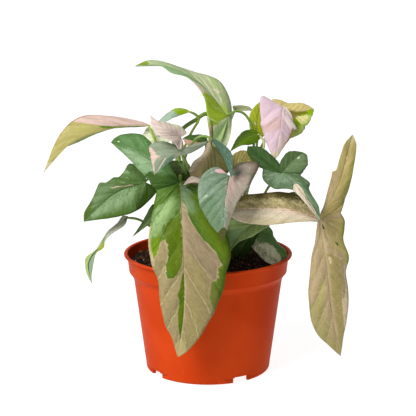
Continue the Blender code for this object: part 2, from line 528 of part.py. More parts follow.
def make_leaf(name, leaf, parts, cutters, green):
    """A blade with its stalk, joined where the stalk meets the rib."""
    bm = bmesh.new()
    base = leaf["rib"][0]
    notches = leaf.get("notches", [base, base])
    cup = leaf.get("cup", 0.06)
    add_blade(bm, leaf["rib"], [([notches[0]] + leaf["left"], 1), ([notches[1]] + leaf["right"], -1)], cup)
    for lobe, notch, side in zip(leaf.get("lobes", []), notches, (1, -1)):
        add_blade(bm, [base] + lobe["rib"],
                  [([base] + lobe["inner"], side), ([notch] + lobe["outer"], -side)], cup)
    bmesh.ops.remove_doubles(bm, verts=bm.verts, dist=2e-5)
    bmesh.ops.dissolve_degenerate(bm, edges=bm.edges, dist=2e-5)
    bmesh.ops.recalc_face_normals(bm, faces=bm.faces)
    mesh = bpy.data.meshes.new(name)
    bm.to_mesh(mesh)
    bm.free()
    ob = add_object(name, mesh, parts, green)
    thick = ob.modifiers.new("thickness", "SOLIDIFY")
    thick.thickness = BLADE_THICK
    thick.offset = 0.0
    stalk = make_stalk(name, leaf, cutters)
    boolean(ob, stalk, "UNION", solver="MANIFOLD")   # a thin blade meets itself where it narrows
    keep_outer_skin(ob)
    return ob


def keep_outer_skin(ob):
    """Apply the modifiers, drop the crumbs that a join leaves inside a solid and close its slivers up."""
    bpy.context.view_layer.update()
    mesh = bpy.data.meshes.new_from_object(ob.evaluated_get(bpy.context.evaluated_depsgraph_get()))
    ob.modifiers.clear()
    ob.data = mesh
    bm = bmesh.new()
    bm.from_mesh(mesh)
    unseen = set(bm.faces)
    skins = []
    while unseen:
        skin = [unseen.pop()]
        for face in skin:
            for edge in face.edges:
                fresh = [f for f in edge.link_faces if f in unseen]
                unseen.difference_update(fresh)
                skin.extend(fresh)
        skins.append(skin)
    skins.sort(key=len)
    bmesh.ops.delete(bm, geom=[f for skin in skins[:-1] for f in skin], context="FACES")
    bmesh.ops.dissolve_degenerate(bm, edges=bm.edges, dist=SLIVER)
    bmesh.ops.triangulate(bm, faces=bm.faces)
    bm.to_mesh(mesh)
    bm.free()


def make_stalk(name, leaf, cutters):
    """The stalk leaves its stem with a seat gap and ends just through the blade."""
    stem, height, passing = leaf["stalk"]
    radius = STALK_R.get(name, PLAIN_STALK_R)
    root = resample(smooth_route(stem_line(stem), 40),
                    [(height - STEM_ROOT_Z) / (STEMS[stem][1][2] - STEM_ROOT_Z)])[0]
    towards = np.array(passing[0]) - root
    out = towards.copy()
    out[2] = 0.0
    out /= np.linalg.norm(out)
    start = root + out * (STEM_R + SEAT + 0.8 * radius)
    away = start + out * 0.0035 + np.array([0, 0, 0.004])
    ahead = np.array(leaf["rib"][1]) - np.array(leaf["rib"][0])
    end = np.array(leaf["rib"][0]) + ahead / np.linalg.norm(ahead) * 1.5 * radius
    last = end - np.array(passing[-1])
    end = end + last / np.linalg.norm(last) * 1.5 * BLADE_THICK
    mesh = tube(name + "_stalk", [tuple(start), tuple(away)] + passing + [tuple(end)], radius, cutters, 11)
    return make_cutter(add_object(name + "_stalk", mesh, cutters))


def main():
    clear_scene()
    parts = new_collection("potted_syngonium")
    cutters = new_collection("cutters")
    make_pot(parts, cutters)
    sockets = make_stems(parts, cutters)
    make_soil(parts, sockets)
    green = material("leaf_green")
    for name, leaf in LEAVES.items():
        make_leaf(name, leaf, parts, cutters, green)


main()
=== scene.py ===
import math

import bmesh
import bpy
import numpy as np
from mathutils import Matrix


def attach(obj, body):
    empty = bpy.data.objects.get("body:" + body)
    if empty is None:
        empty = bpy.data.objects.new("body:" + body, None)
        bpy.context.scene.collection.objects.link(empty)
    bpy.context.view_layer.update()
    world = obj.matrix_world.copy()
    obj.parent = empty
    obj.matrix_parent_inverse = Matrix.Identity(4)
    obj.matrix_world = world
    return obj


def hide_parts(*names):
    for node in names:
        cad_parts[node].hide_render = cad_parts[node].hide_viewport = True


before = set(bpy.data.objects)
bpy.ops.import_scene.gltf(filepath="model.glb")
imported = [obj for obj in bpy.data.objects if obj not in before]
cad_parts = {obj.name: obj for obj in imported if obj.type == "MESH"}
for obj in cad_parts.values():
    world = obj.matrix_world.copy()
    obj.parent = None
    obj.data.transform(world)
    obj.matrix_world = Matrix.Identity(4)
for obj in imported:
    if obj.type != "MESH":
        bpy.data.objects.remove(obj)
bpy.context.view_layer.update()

# The camera stands about 1.4 m in front of the pot, a little above the plant's top, and looks
# down on it gently through a long lens.
def placed(name, data):
    """A new object in the scene."""
    made = bpy.data.objects.new(name, data)
    bpy.context.scene.collection.objects.link(made)
    return made


lens = bpy.data.cameras.new("long_lens")
lens.lens = 138.46
lens.sensor_width = 36.0
camera = placed("camera", lens)
camera.location = (0.0, -1.403, 0.465)
camera.rotation_euler = (math.radians(77.29), 0.0, 0.0)
bpy.context.scene.camera = camera


# The room: a glowing white paper table runs up into a wall behind, and a white cloth hangs all
# round, seen only as background. A large soft light stands high at the front left, a dark board
# that takes light away stands unseen on the right, and the air all round is pale.
class Link:
    """One output in a material's nodes. Arithmetic on it adds Math nodes."""

    def __init__(self, finish, socket):
        self.finish = finish
        self.socket = socket

    def sum(self, operation, first, second):
        return self.finish.node("ShaderNodeMath", {"operation": operation}, {0: first, 1: second})

    def __add__(self, other):
        return self.sum("ADD", self, other)

    def __radd__(self, other):
        return self.sum("ADD", other, self)

    def __sub__(self, other):
        return self.sum("SUBTRACT", self, other)

    def __rsub__(self, other):
        return self.sum("SUBTRACT", other, self)

    def __mul__(self, other):
        return self.sum("MULTIPLY", self, other)

    def __rmul__(self, other):
        return self.sum("MULTIPLY", other, self)

    def __abs__(self):
        return self.sum("ABSOLUTE", self, 0.0)

    def __mod__(self, other):
        return self.sum("FLOORED_MODULO", self, other)


def tone(red, green, blue):
    """A paint colour given as it looks on a chart, 0 to 255, in the linear values that shaders use."""
    return tuple((c / 255) ** 2.2 for c in (red, green, blue)) + (1.0,)


class Finish:
    """A surface finish: a material whose main shader takes fixed values by socket name."""

    def __init__(self, name, fixed):
        self.material = bpy.data.materials.new(name)
        self.material.use_nodes = True
        self.tree = self.material.node_tree
        self.shader = self.tree.nodes["Principled BSDF"]
        for socket, value in fixed.items():
            self.shader.inputs[socket].default_value = value

    def node(self, kind, settings=None, sockets=None, output=0):
        made = self.tree.nodes.new(kind)
        for key, value in (settings or {}).items():
            if key == "stops":
                self.set_stops(made.color_ramp, value)
            else:
                setattr(made, key, value)
        for key, value in (sockets or {}).items():
            if isinstance(value, Link):
                self.tree.links.new(value.socket, made.inputs[key])
            else:
                made.inputs[key].default_value = value
        return Link(self, made.outputs[output])

    def set_stops(self, ramp, stops):
        while len(ramp.elements) < len(stops):
            ramp.elements.new(1.0)
        for element, (place, value) in zip(ramp.elements, stops):
            element.position = place
            element.color = value if isinstance(value, tuple) else (value, value, value, 1.0)

    def feed(self, socket, value):
        self.tree.links.new(value.socket, self.shader.inputs[socket])

    def noise(self, where, scale, detail=3.0, roughness=0.5, distortion=0.0):
        return self.node("ShaderNodeTexNoise", {}, {"Vector": where, "Scale": scale, "Detail": detail,
                                                    "Roughness": roughness, "Distortion": distortion})

    def step(self, value, low, high, to_low=0.0, to_high=1.0):
        """A smooth step from to_low to to_high as value goes from low to high."""
        return self.node("ShaderNodeMapRange", {"interpolation_type": "SMOOTHSTEP"},
                         {0: value, 1: low, 2: high, 3: to_low, 4: to_high})

    def mix(self, share, under, over, blend="MIX"):
        return self.node("ShaderNodeMix", {"data_type": "RGBA", "blend_type": blend, "clamp_factor": True},
                         {0: share, 6: under, 7: over}, 2)

    def bump(self, height, depth, strength=1.0):
        self.feed("Normal", self.node("ShaderNodeBump", {}, {"Strength": strength, "Distance": depth,
                                                             "Height": height}))

    def place(self):
        """Where the surface is on the whole object, in metres."""
        return self.node("ShaderNodeTexCoord", {}, {}, 3)


def joined(name, verts, faces, finishes, marks=None, uvs=None):
    """An object from points and faces; marks gives each face's finish and uvs a pair per corner point."""
    mesh = bpy.data.meshes.new(name)
    mesh.from_pydata([tuple(v) for v in verts], [], faces)
    for finish in finishes:
        mesh.materials.append(finish.material)
    if marks is not None:
        mesh.polygons.foreach_set("material_index", marks)
    if uvs is not None:
        layer = mesh.uv_layers.new(name="UVMap")
        for loop in mesh.loops:
            layer.data[loop.index].uv = uvs[loop.vertex_index]
    mesh.polygons.foreach_set("use_smooth", [True] * len(mesh.polygons))
    return placed(name, mesh)


def glowing(name, strength):
    """A matt white finish that shines by itself."""
    return Finish(name, {"Base Color": (0.2, 0.2, 0.2, 1), "Roughness": 0.9,
                         "Emission Color": (1, 1, 1, 1), "Emission Strength": strength})


sweep_y, sweep_r, wall_h, half_w = 1.9, 0.5, 1.8, 3.0
section = [(-3.0, 0.0)] + [(sweep_y + sweep_r * math.sin(a), sweep_r - sweep_r * math.cos(a))
                           for a in np.linspace(0, math.pi / 2, 16)] + [(sweep_y + sweep_r, wall_h)]
table = joined("white_table", [(x, y, z) for y, z in section for x in (-half_w, half_w)],
               [(2 * i, 2 * i + 1, 2 * i + 3, 2 * i + 2) for i in range(len(section) - 1)],
               [glowing("white_paper", 0.9)])
cloth_r, cloth_h, cloth_steps = 2.9, 2.6, 96
cloth = joined("white_wall", [(cloth_r * math.cos(a), cloth_r * math.sin(a), z) for z in (0.0, cloth_h)
                              for a in np.arange(cloth_steps) * 2 * math.pi / cloth_steps],
               [(i, (i + 1) % cloth_steps, cloth_steps + (i + 1) % cloth_steps, cloth_steps + i)
                for i in range(cloth_steps)], [glowing("white_cloth", 1.0)])
cloth.visible_diffuse = cloth.visible_glossy = cloth.visible_shadow = False
board = joined("dark_board", [(1.0, y, z) for y, z in ((-1.6, 0.0), (1.0, 0.0), (1.0, 1.6), (-1.6, 1.6))],
               [(0, 1, 2, 3)],
               [Finish("dark_card", {"Base Color": (0.05, 0.05, 0.05, 1), "Roughness": 0.9})])
board.visible_camera = False
lamp = bpy.data.lights.new("window_light", "AREA")
lamp.energy = 88.0
lamp.size = 1.2
lamp.color = (1.0, 0.99, 0.97)
window_place, plant_middle = (-1.2, -1.5, 2.0), (0.0, 0.0, 0.15)
window = placed("window_light", lamp)
window.location = window_place
aim = np.array(plant_middle) - np.array(window_place)
window.rotation_euler = (math.acos(-aim[2] / np.linalg.norm(aim)), 0.0,
                         math.atan2(aim[1], aim[0]) - math.pi / 2)
room = bpy.data.worlds.new("pale_room")
room.use_nodes = True
air = room.node_tree.nodes["Background"]
air.inputs["Color"].default_value = (1.0, 1.0, 1.0, 1.0)
air.inputs["Strength"].default_value = 0.33
bpy.context.scene.world = room
bpy.context.scene.view_settings.view_transform = "Standard"


# The pot is one thin injection moulding in satin orange plastic: a beaded rim, a straight collar,
# a rounded step down to the tapered body, and a foot ring cut by four notches; the drain holes over them
# are left out.
def turned(name, profile, steps, finish):
    """A profile of (radius, height) points turned once about the upright axis."""
    verts = [(r * math.cos(a), r * math.sin(a), z) for a in np.arange(steps) * 2 * math.pi / steps
             for r, z in profile]
    n = len(profile)
    faces = [(i * n + j, (i + 1) % steps * n + j, (i + 1) % steps * n + j + 1, i * n + j + 1)
             for i in range(steps) for j in range(n - 1)]
    made = joined(name, verts, faces, [finish])
    bm = bmesh.new()
    bm.from_mesh(made.data)
    bmesh.ops.remove_doubles(bm, verts=bm.verts, dist=1e-6)
    bmesh.ops.recalc_face_normals(bm, faces=bm.faces)
    bm.to_mesh(made.data)
    bm.free()
    return made


def arc(centre, radii, start, end, count):
    """Points (radius, height) on an ellipse's arc, with angles in degrees."""
    return [(centre[0] + radii[0] * math.cos(a), centre[1] + radii[1] * math.sin(a))
            for a in np.radians(np.linspace(start, end, count))]


def sector(name, azimuth, half_angle, near, far, low, high):
    """A cutter: the part of a ring between two radii and two heights."""
    bm = bmesh.new()
    bmesh.ops.create_cube(bm, size=1.0)
    middle = (near + far) / 2
    for v in bm.verts:
        x = middle + v.co.x * (far - near)
        y = v.co.y * 2 * middle * math.tan(half_angle)
        v.co = (x * math.cos(azimuth) - y * math.sin(azimuth),
                x * math.sin(azimuth) + y * math.cos(azimuth), (low + high) / 2 + v.co.z * (high - low))
    mesh = bpy.data.meshes.new(name)
    bm.to_mesh(mesh)
    bm.free()
    return placed(name, mesh)


def cut(piece, cutters):
    """Cut the cutters out of the piece and throw them away."""
    for cutter in cutters:
        trim = piece.modifiers.new(cutter.name, "BOOLEAN")
        trim.operation = "DIFFERENCE"
        trim.object = cutter
    bpy.context.view_layer.update()
    mesh = bpy.data.meshes.new_from_object(piece.evaluated_get(bpy.context.evaluated_depsgraph_get()))
    piece.modifiers.clear()
    piece.data = mesh
    for cutter in cutters:
        bpy.data.objects.remove(cutter, do_unlink=True)


rim_r, pot_h, wall = 0.076, 0.1082, 0.0016
collar_r, collar_foot_z = 0.0728, 0.0915
body_top_r, body_top_z, body_foot_r = 0.0672, 0.0855, 0.0564
floor_r, foot_ring_r, channel_h = 0.038, 0.0515, 0.0062
first_notch = math.radians(-57.3)

orange = Finish("orange_plastic", {"Specular IOR Level": 0.015})
where = orange.place()
cloud = orange.noise(where, 22.0, 4.0)
grain = orange.noise(where, 900.0, 2.0)
scuffs = orange.noise(orange.node("ShaderNodeMapping", {}, {0: where, 3: (1.0, 1.0, 0.16)}), 160.0, 3.0)
paint = orange.mix(orange.step(cloud, 0.35, 0.65), tone(182, 60, 23), tone(192, 67, 28))
paint = orange.mix(0.06 * orange.step(scuffs, 0.62, 0.74), paint, tone(236, 130, 84))
orange.feed("Base Color", paint)
orange.feed("Roughness", 0.34 + 0.10 * cloud + 0.05 * grain)
orange.bump(grain + 0.6 * cloud, 0.00006, 0.6)

bead = (0.0018, 0.0013)
inside = [(0.0, wall), (floor_r - 2 * wall, wall), (floor_r, channel_h + wall),
          (body_foot_r - 3 * wall, channel_h + wall), (body_foot_r - wall, channel_h + 3 * wall),
          (body_top_r - wall, body_top_z - wall), (collar_r - 2 * wall, collar_foot_z),
          (collar_r - wall, collar_foot_z + 2 * wall)]
rim = arc((rim_r - bead[0], pot_h - bead[1]), bead, 185, -90, 20)
collar = [(collar_r + 0.0004, pot_h - 2 * bead[1] - 0.0002), (collar_r, pot_h - 2 * bead[1] - 0.0010),
          (collar_r - 0.0013, collar_foot_z + 0.0012)]
step_down = arc((collar_r - 0.0033, collar_foot_z + 0.0010), (0.0020, 0.0020), 5, -62, 8)
body = [(body_top_r + 0.0006, body_top_z + 0.0012), (body_top_r + 0.0001, body_top_z - 0.0002),
        (body_top_r, body_top_z - 0.0012)]
body += [(body_top_r + (body_foot_r - body_top_r) * t, body_top_z + (0.0040 - body_top_z) * t)
         for t in np.linspace(0.05, 0.97, 20)]
corner = arc((body_foot_r - 0.0030, 0.0034), (0.0030, 0.0034), 0, -80, 9)
under = [(foot_ring_r, 0.0), (foot_ring_r, channel_h), (floor_r + 0.0012, channel_h),
         (floor_r, 0.0), (0.0, 0.0)]
pot = turned("nursery_pot", inside + rim + collar + step_down + body + corner + under, 192, orange)
notches = []
for k in range(4):
    azimuth = first_notch + k * math.pi / 2
    notches.append(sector(f"wide_notch_{k}", azimuth, math.radians(16.8), 0.0538, 0.0620, -0.004, 0.0052))
    notches.append(sector(f"deep_notch_{k}", azimuth, math.radians(8.3), 0.0480, 0.0600, -0.003, 0.0060))
cut(pot, notches)
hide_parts("pot")
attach(pot, "root")


# The mix is dark peat and bark with white perlite and a few reddish coir fibres, filled to 7 mm
# under the rim. The surface is built as loose crumbs on an uneven bed.
def lump(rng, centre, size, flat):
    """A rough little crumb with six corners and eight faces."""
    turn = rng.normal(size=(3, 3))
    turn, _ = np.linalg.qr(turn)
    corners = np.array([(1, 0, 0), (-1, 0, 0), (0, 1, 0), (0, -1, 0), (0, 0, 1), (0, 0, -1)], float)
    corners *= size * rng.uniform(0.6, 1.15, (6, 1)) * np.array([1.0, rng.uniform(0.5, 1.0), flat])
    return corners @ turn.T + centre


lump_faces = [(0, 2, 4), (2, 1, 4), (1, 3, 4), (3, 0, 4), (2, 0, 5), (1, 2, 5), (3, 1, 5), (0, 3, 5)]


def mix_finish(name, dark, light, roughness):
    """A rough finish blotched with two colours."""
    finish = Finish(name, {"Specular IOR Level": 0.25})
    where = finish.place()
    blotches = finish.step(finish.noise(where, 420.0, 3.0), 0.35, 0.65)
    finish.feed("Base Color", finish.mix(blotches, dark, light))
    finish.feed("Roughness", roughness + 0.1 * finish.noise(where, 900.0))
    finish.bump(finish.noise(where, 1500.0), 0.0003, 0.8)
    return finish


peat = mix_finish("dark_peat", tone(22, 14, 10), tone(52, 36, 26), 0.85)
bark = mix_finish("brown_bark", tone(58, 36, 22), tone(98, 64, 40), 0.8)
perlite = mix_finish("white_perlite", tone(178, 168, 154), tone(220, 212, 200), 0.9)
coir = mix_finish("coir_fibre", tone(96, 50, 34), tone(140, 78, 54), 0.7)

soil_z, soil_crown, soil_r = 0.1005, 0.0025, collar_r - wall - 0.0010
crumb_kinds = [(0, 2600, 0.0007, 0.0019, 0.7), (1, 700, 0.0010, 0.0030, 0.4), (2, 80, 0.0006, 0.0014, 0.8)]
fibre_count, fibre_r, fibre_lift, fibre_steps, fibre_sides = 70, 0.00018, 0.0012, 8, 3
rng = np.random.default_rng(7)


def bed_height(x, y):
    """The mix's surface: a low crown with soft humps."""
    r = math.hypot(x, y) / soil_r
    humps = 0.0007 * math.sin(131 * x + 2) * math.sin(117 * y + 1) + 0.0005 * math.sin(263 * x - 199 * y)
    return soil_z - 0.0006 + soil_crown * (1 - r ** 2) + humps


rings, spokes = 26, 96
verts = [(0.0, 0.0, bed_height(0.0, 0.0))]
for i in range(1, rings + 1):
    for a in np.arange(spokes) * 2 * math.pi / spokes:
        x, y = soil_r * i / rings * math.cos(a), soil_r * i / rings * math.sin(a)
        verts.append((x, y, bed_height(x, y)))
faces = [(0, 1 + j, 1 + (j + 1) % spokes) for j in range(spokes)]
for i in range(rings - 1):
    for j in range(spokes):
        a, b = 1 + i * spokes + j, 1 + i * spokes + (j + 1) % spokes
        faces.append((a, a + spokes, b + spokes, b))
low_ring = len(verts)
verts += [(0.99 * x, 0.99 * y, collar_foot_z + 0.004) for x, y, _ in verts[-spokes:]]
faces += [(low_ring - spokes + j, low_ring + j, low_ring + (j + 1) % spokes,
           low_ring - spokes + (j + 1) % spokes) for j in range(spokes)]
faces.append(tuple(range(len(verts) - 1, low_ring - 1, -1)))
kinds = [0] * len(faces)
for kind, count, small, large, flat in crumb_kinds:
    for _ in range(count):
        r, a = (soil_r - 0.001) * math.sqrt(rng.uniform()), rng.uniform(0, 2 * math.pi)
        x, y = r * math.cos(a), r * math.sin(a)
        size = rng.uniform(small, large)
        corners = lump(rng, np.array([x, y, bed_height(x, y) + 0.3 * size]), size, flat)
        faces += [tuple(len(verts) + k for k in face) for face in lump_faces]
        kinds += [kind] * len(lump_faces)
        verts += [tuple(c) for c in corners]
for _ in range(fibre_count):
    r, a, turn = (soil_r - 0.008) * math.sqrt(rng.uniform()), rng.uniform(0, 6.28), rng.uniform(0, 6.28)
    bend, length = rng.uniform(-1.2, 1.2), rng.uniform(0.006, 0.016)
    line = []
    for t in np.linspace(0, 1, fibre_steps + 1):
        x = r * math.cos(a) + length * t * math.cos(turn + bend * t)
        y = r * math.sin(a) + length * t * math.sin(turn + bend * t)
        line.append((x, y, bed_height(x, y) + fibre_lift + fibre_lift * math.sin(3.1 * t)))
    for x, y, z in line:
        for k in range(fibre_sides):
            verts.append((x + fibre_r * math.cos(2.1 * k), y + fibre_r * math.sin(2.1 * k),
                          z + fibre_r * math.cos(2.1 * k + 1)))
    start = len(verts) - fibre_sides * (fibre_steps + 1)
    for a in range(start, start + fibre_sides * fibre_steps, fibre_sides):
        for k in range(fibre_sides):
            after = (k + 1) % fibre_sides
            faces.append((a + k, a + after, a + fibre_sides + after, a + fibre_sides + k))
            kinds.append(3)
mix = joined("potting_mix", verts, faces, [peat, bark, perlite, coir], kinds)
mix.data.polygons.foreach_set("use_smooth", [False] * len(mix.data.polygons))
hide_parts("soil")
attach(mix, "root")


# Short rooted stems stand in the mix and bear the stalks. They are round and green with a swollen
# ring at each joint, and taper a little to the growing point.
def smooth_route(points, count):
    """Points evenly spaced along a smooth curve through the given ones."""
    known = [np.array(p, dtype=float) for p in points]
    known = [2 * known[0] - known[1]] + known + [2 * known[-1] - known[-2]]
    fine = []
    for a, b, c, d in zip(known, known[1:], known[2:], known[3:]):
        for t in np.linspace(0, 1, 16, endpoint=False):
            fine.append(0.5 * (2 * b + (c - a) * t + (2 * a - 5 * b + 4 * c - d) * t ** 2
                               + (3 * b - a - 3 * c + d) * t ** 3))
    fine.append(known[-2])
    return resample(np.array(fine), np.linspace(0, 1, count))


def resample(line, places):
    """The line's points at the given shares of its length."""
    steps = np.linalg.norm(np.diff(line, axis=0), axis=1)
    length = np.concatenate([[0.0], np.cumsum(steps)])
    return np.stack([np.interp(np.asarray(places) * length[-1], length, line[:, k]) for k in range(3)], -1)


def round_stalk(name, route, radii, finish, sides=12):
    """A tube along a route with a radius at each point, closed at both ends."""
    ahead = np.gradient(route, axis=0)
    ahead /= np.linalg.norm(ahead, axis=1)[:, None]
    side = np.cross(ahead[0], (0.0, 1.0, 0.0))
    verts, uvs = [], []
    for i, (centre, along) in enumerate(zip(route, ahead)):
        side = side - along * (side @ along)
        side /= np.linalg.norm(side)
        other = np.cross(along, side)
        for k in range(sides):
            a = 2 * math.pi * k / sides
            verts.append(centre + radii[i] * (math.cos(a) * side + math.sin(a) * other))
            uvs.append((i / (len(route) - 1), k / sides))
    faces = [(a + k, a + (k + 1) % sides, a + sides + (k + 1) % sides, a + sides + k)
             for a in range(0, sides * (len(route) - 1), sides) for k in range(sides)]
    faces += [tuple(range(sides - 1, -1, -1)), tuple(range(len(verts) - sides, len(verts)))]
    return joined(name, verts, faces, [finish], uvs=uvs)


def stalk_finish(name, foot, top, streak):
    """Stalk skin that turns from one colour at the foot to another at the blade, faintly streaked."""
    finish = Finish(name, {"Specular IOR Level": 0.45})
    u = finish.node("ShaderNodeSeparateXYZ", {}, {0: finish.node("ShaderNodeTexCoord", {}, {}, 2)})
    drawn_out = finish.node("ShaderNodeMapping", {}, {0: finish.place(), 3: (1.0, 1.0, 0.2)})
    streaks = finish.noise(drawn_out, 900.0)
    skin = finish.mix(finish.step(u, 0.0, 1.0), foot, top)
    skin = finish.mix(0.55 * finish.step(streaks, 0.5, 0.75), skin, streak)
    finish.feed("Base Color", skin)
    finish.feed("Roughness", 0.36 + 0.2 * streaks)
    finish.bump(streaks, 0.0002, 0.5)
    return finish


green_stalk = stalk_finish("green_stalk", tone(96, 120, 56), tone(106, 136, 54), tone(160, 176, 112))
pale_stalk = stalk_finish("pale_stalk", tone(104, 124, 60), tone(188, 200, 142), tone(214, 216, 176))
dark_stalk = stalk_finish("dark_stalk", tone(74, 96, 48), tone(56, 84, 34), tone(112, 138, 78))
tan_stalk = stalk_finish("tan_stalk", tone(104, 116, 60), tone(182, 164, 118), tone(206, 186, 150))
lime_stalk = stalk_finish("lime_stalk", tone(106, 132, 40), tone(136, 160, 48), tone(166, 188, 80))
stem_skin = stalk_finish("stem_skin", tone(96, 104, 58), tone(120, 142, 76), tone(150, 160, 106))

stem_r, stem_root_z = 0.0032, 0.082
stems = {
    "stem_left": [(-0.018, -0.010), (-0.023, -0.014, 0.162)],
    "stem_front": [(-0.001, -0.020), (-0.003, -0.026, 0.162)],
    "stem_right": [(0.019, -0.008), (0.026, -0.010, 0.166)],
    "stem_middle": [(0.001, 0.000), (0.003, -0.001, 0.156)],
    "stem_back": [(0.002, 0.021), (0.001, 0.025, 0.150)],
}


def stem_line(name):
    """The stem's middle line, from its root in the mix to its growing point."""
    (x, y), top = stems[name]
    return smooth_route([(x, y, stem_root_z), (x, y, soil_z), top], 61)


for name in stems:
    line = stem_line(name)
    t = np.linspace(0, 1, len(line))
    joint = np.exp(-((t * 6.3 % 1.0 - 0.5) / 0.07) ** 2)
    radii = stem_r * (1.0 - 0.12 * t + 0.10 * joint) * np.sqrt(np.clip((1.0 - t) / 0.03, 0.04, 1.0))
    stem = round_stalk(name + "_shoot", line, radii, stem_skin, 16)
    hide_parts(name)
    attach(stem, "root")


# The largest leaf hangs over the front of the rim, green near its stalk, then tan, pink and olive.
# Each leaf is a thin arrow-shaped blade grown in one piece with its stalk, which clasps a stem, and
# has a midrib, side veins that slant forward, and a soft satin skin.
fan_rows, body_rows, blade_columns = 22, 58, 12
blade_thick, blade_cup, blade_roughness, weld_gap = 0.00045, 0.06, 0.4, 2e-5
rib_groove, rib_half_width, rib_steps, edge_steps = 0.0004, 0.0011, 60, 160
stalk_steps, stalk_root, stalk_reach, stalk_rise = 64, 0.0006, 0.0049, 0.004


def edge_places(rib, edge):
    """Where along its edge each row of a half blade ends: a fan about the stalk's end, then rows
    that leave the rib evenly and slant forward as the side veins do."""
    chord = rib[-1] - rib[0]
    length = np.linalg.norm(chord)
    ahead = (edge - rib[0]) @ (chord / length)
    aside = np.linalg.norm(edge - rib[0] - np.outer(ahead, chord / length), axis=1)
    met = np.maximum.accumulate(np.clip((ahead - 0.8 * aside) / length, 0, 1))
    met[-1] = 1.0
    share = np.linspace(0, 1, len(edge))
    first = max(share[np.flatnonzero(met <= met[0] + 1e-6)[-1]], 0.12)
    t = np.linspace(0, 1, body_rows + 1)[1:]
    rest = np.maximum(np.interp(t, met, share), first + 0.4 * (1 - first) * t)
    places = np.concatenate([np.linspace(0, first, fan_rows + 1), rest])
    for _ in range(6):
        places[1:-1] = 0.25 * places[:-2] + 0.5 * places[1:-1] + 0.25 * places[2:]
    return places


def half_blade(rib, edge, side, relief, wave, veins, ripple):
    """Half a blade from its rib to its edge, as rows of points, quilted between its side veins."""
    rows = fan_rows + body_rows
    ends = resample(edge, edge_places(rib, edge))
    starts = resample(rib, np.concatenate([np.zeros(fan_rows), np.linspace(0, 1, body_rows + 1)]))
    across = ends - starts
    share = np.linspace(0, 1, rows + 1)[:, None]
    sway = np.sin(19.5 * share + 1.7 * veins + side) + 0.6 * np.sin(46.0 * share + 0.9 * veins)
    across = across * (1 + ripple * sway * np.sin(math.pi * share) ** 0.5)
    width = np.linalg.norm(across, axis=1)
    up = np.cross(rib[-1] - rib[0], across) * side
    up /= np.maximum(np.linalg.norm(up, axis=1), 1e-9)[:, None]
    r = np.linspace(0, 1, rows + 1)[:, None]
    s = np.linspace(0, 1, blade_columns + 1)[None, :] ** 1.35
    lift = blade_cup * 4 * s * (1 - s) * np.sin(math.pi * r)
    quilt = np.abs(np.sin(math.pi * veins * (r - 0.1 * s))) ** 0.8 - 0.55
    quilt = quilt + 0.3 * np.sin(17.0 * veins * r + 9.0 * s) * np.sin(7.0 * r + 11.0 * s + veins)
    fade = np.sin(math.pi * r) ** 0.5
    lift = lift + relief * quilt * (4 * s * (1 - s)) ** 0.6 * fade
    lift = lift + wave * s ** 3 * np.sin(2 * math.pi * (2.3 * r + 0.17 * veins)) * fade
    lift = lift * width[:, None] - rib_groove * np.exp(-(s * width[:, None] / rib_half_width) ** 2)
    points = starts[:, None] + across[:, None] * s[:, :, None] + up[:, None] * lift[:, :, None]
    uvs = np.stack([r + 0 * s, 0.5 + 0.5 * side * s + 0 * r], -1)
    return points.reshape(-1, 3), uvs.reshape(-1, 2)


def metres(points):
    """Points that are written in millimetres."""
    return [tuple(c / 1000 for c in point) for point in points]


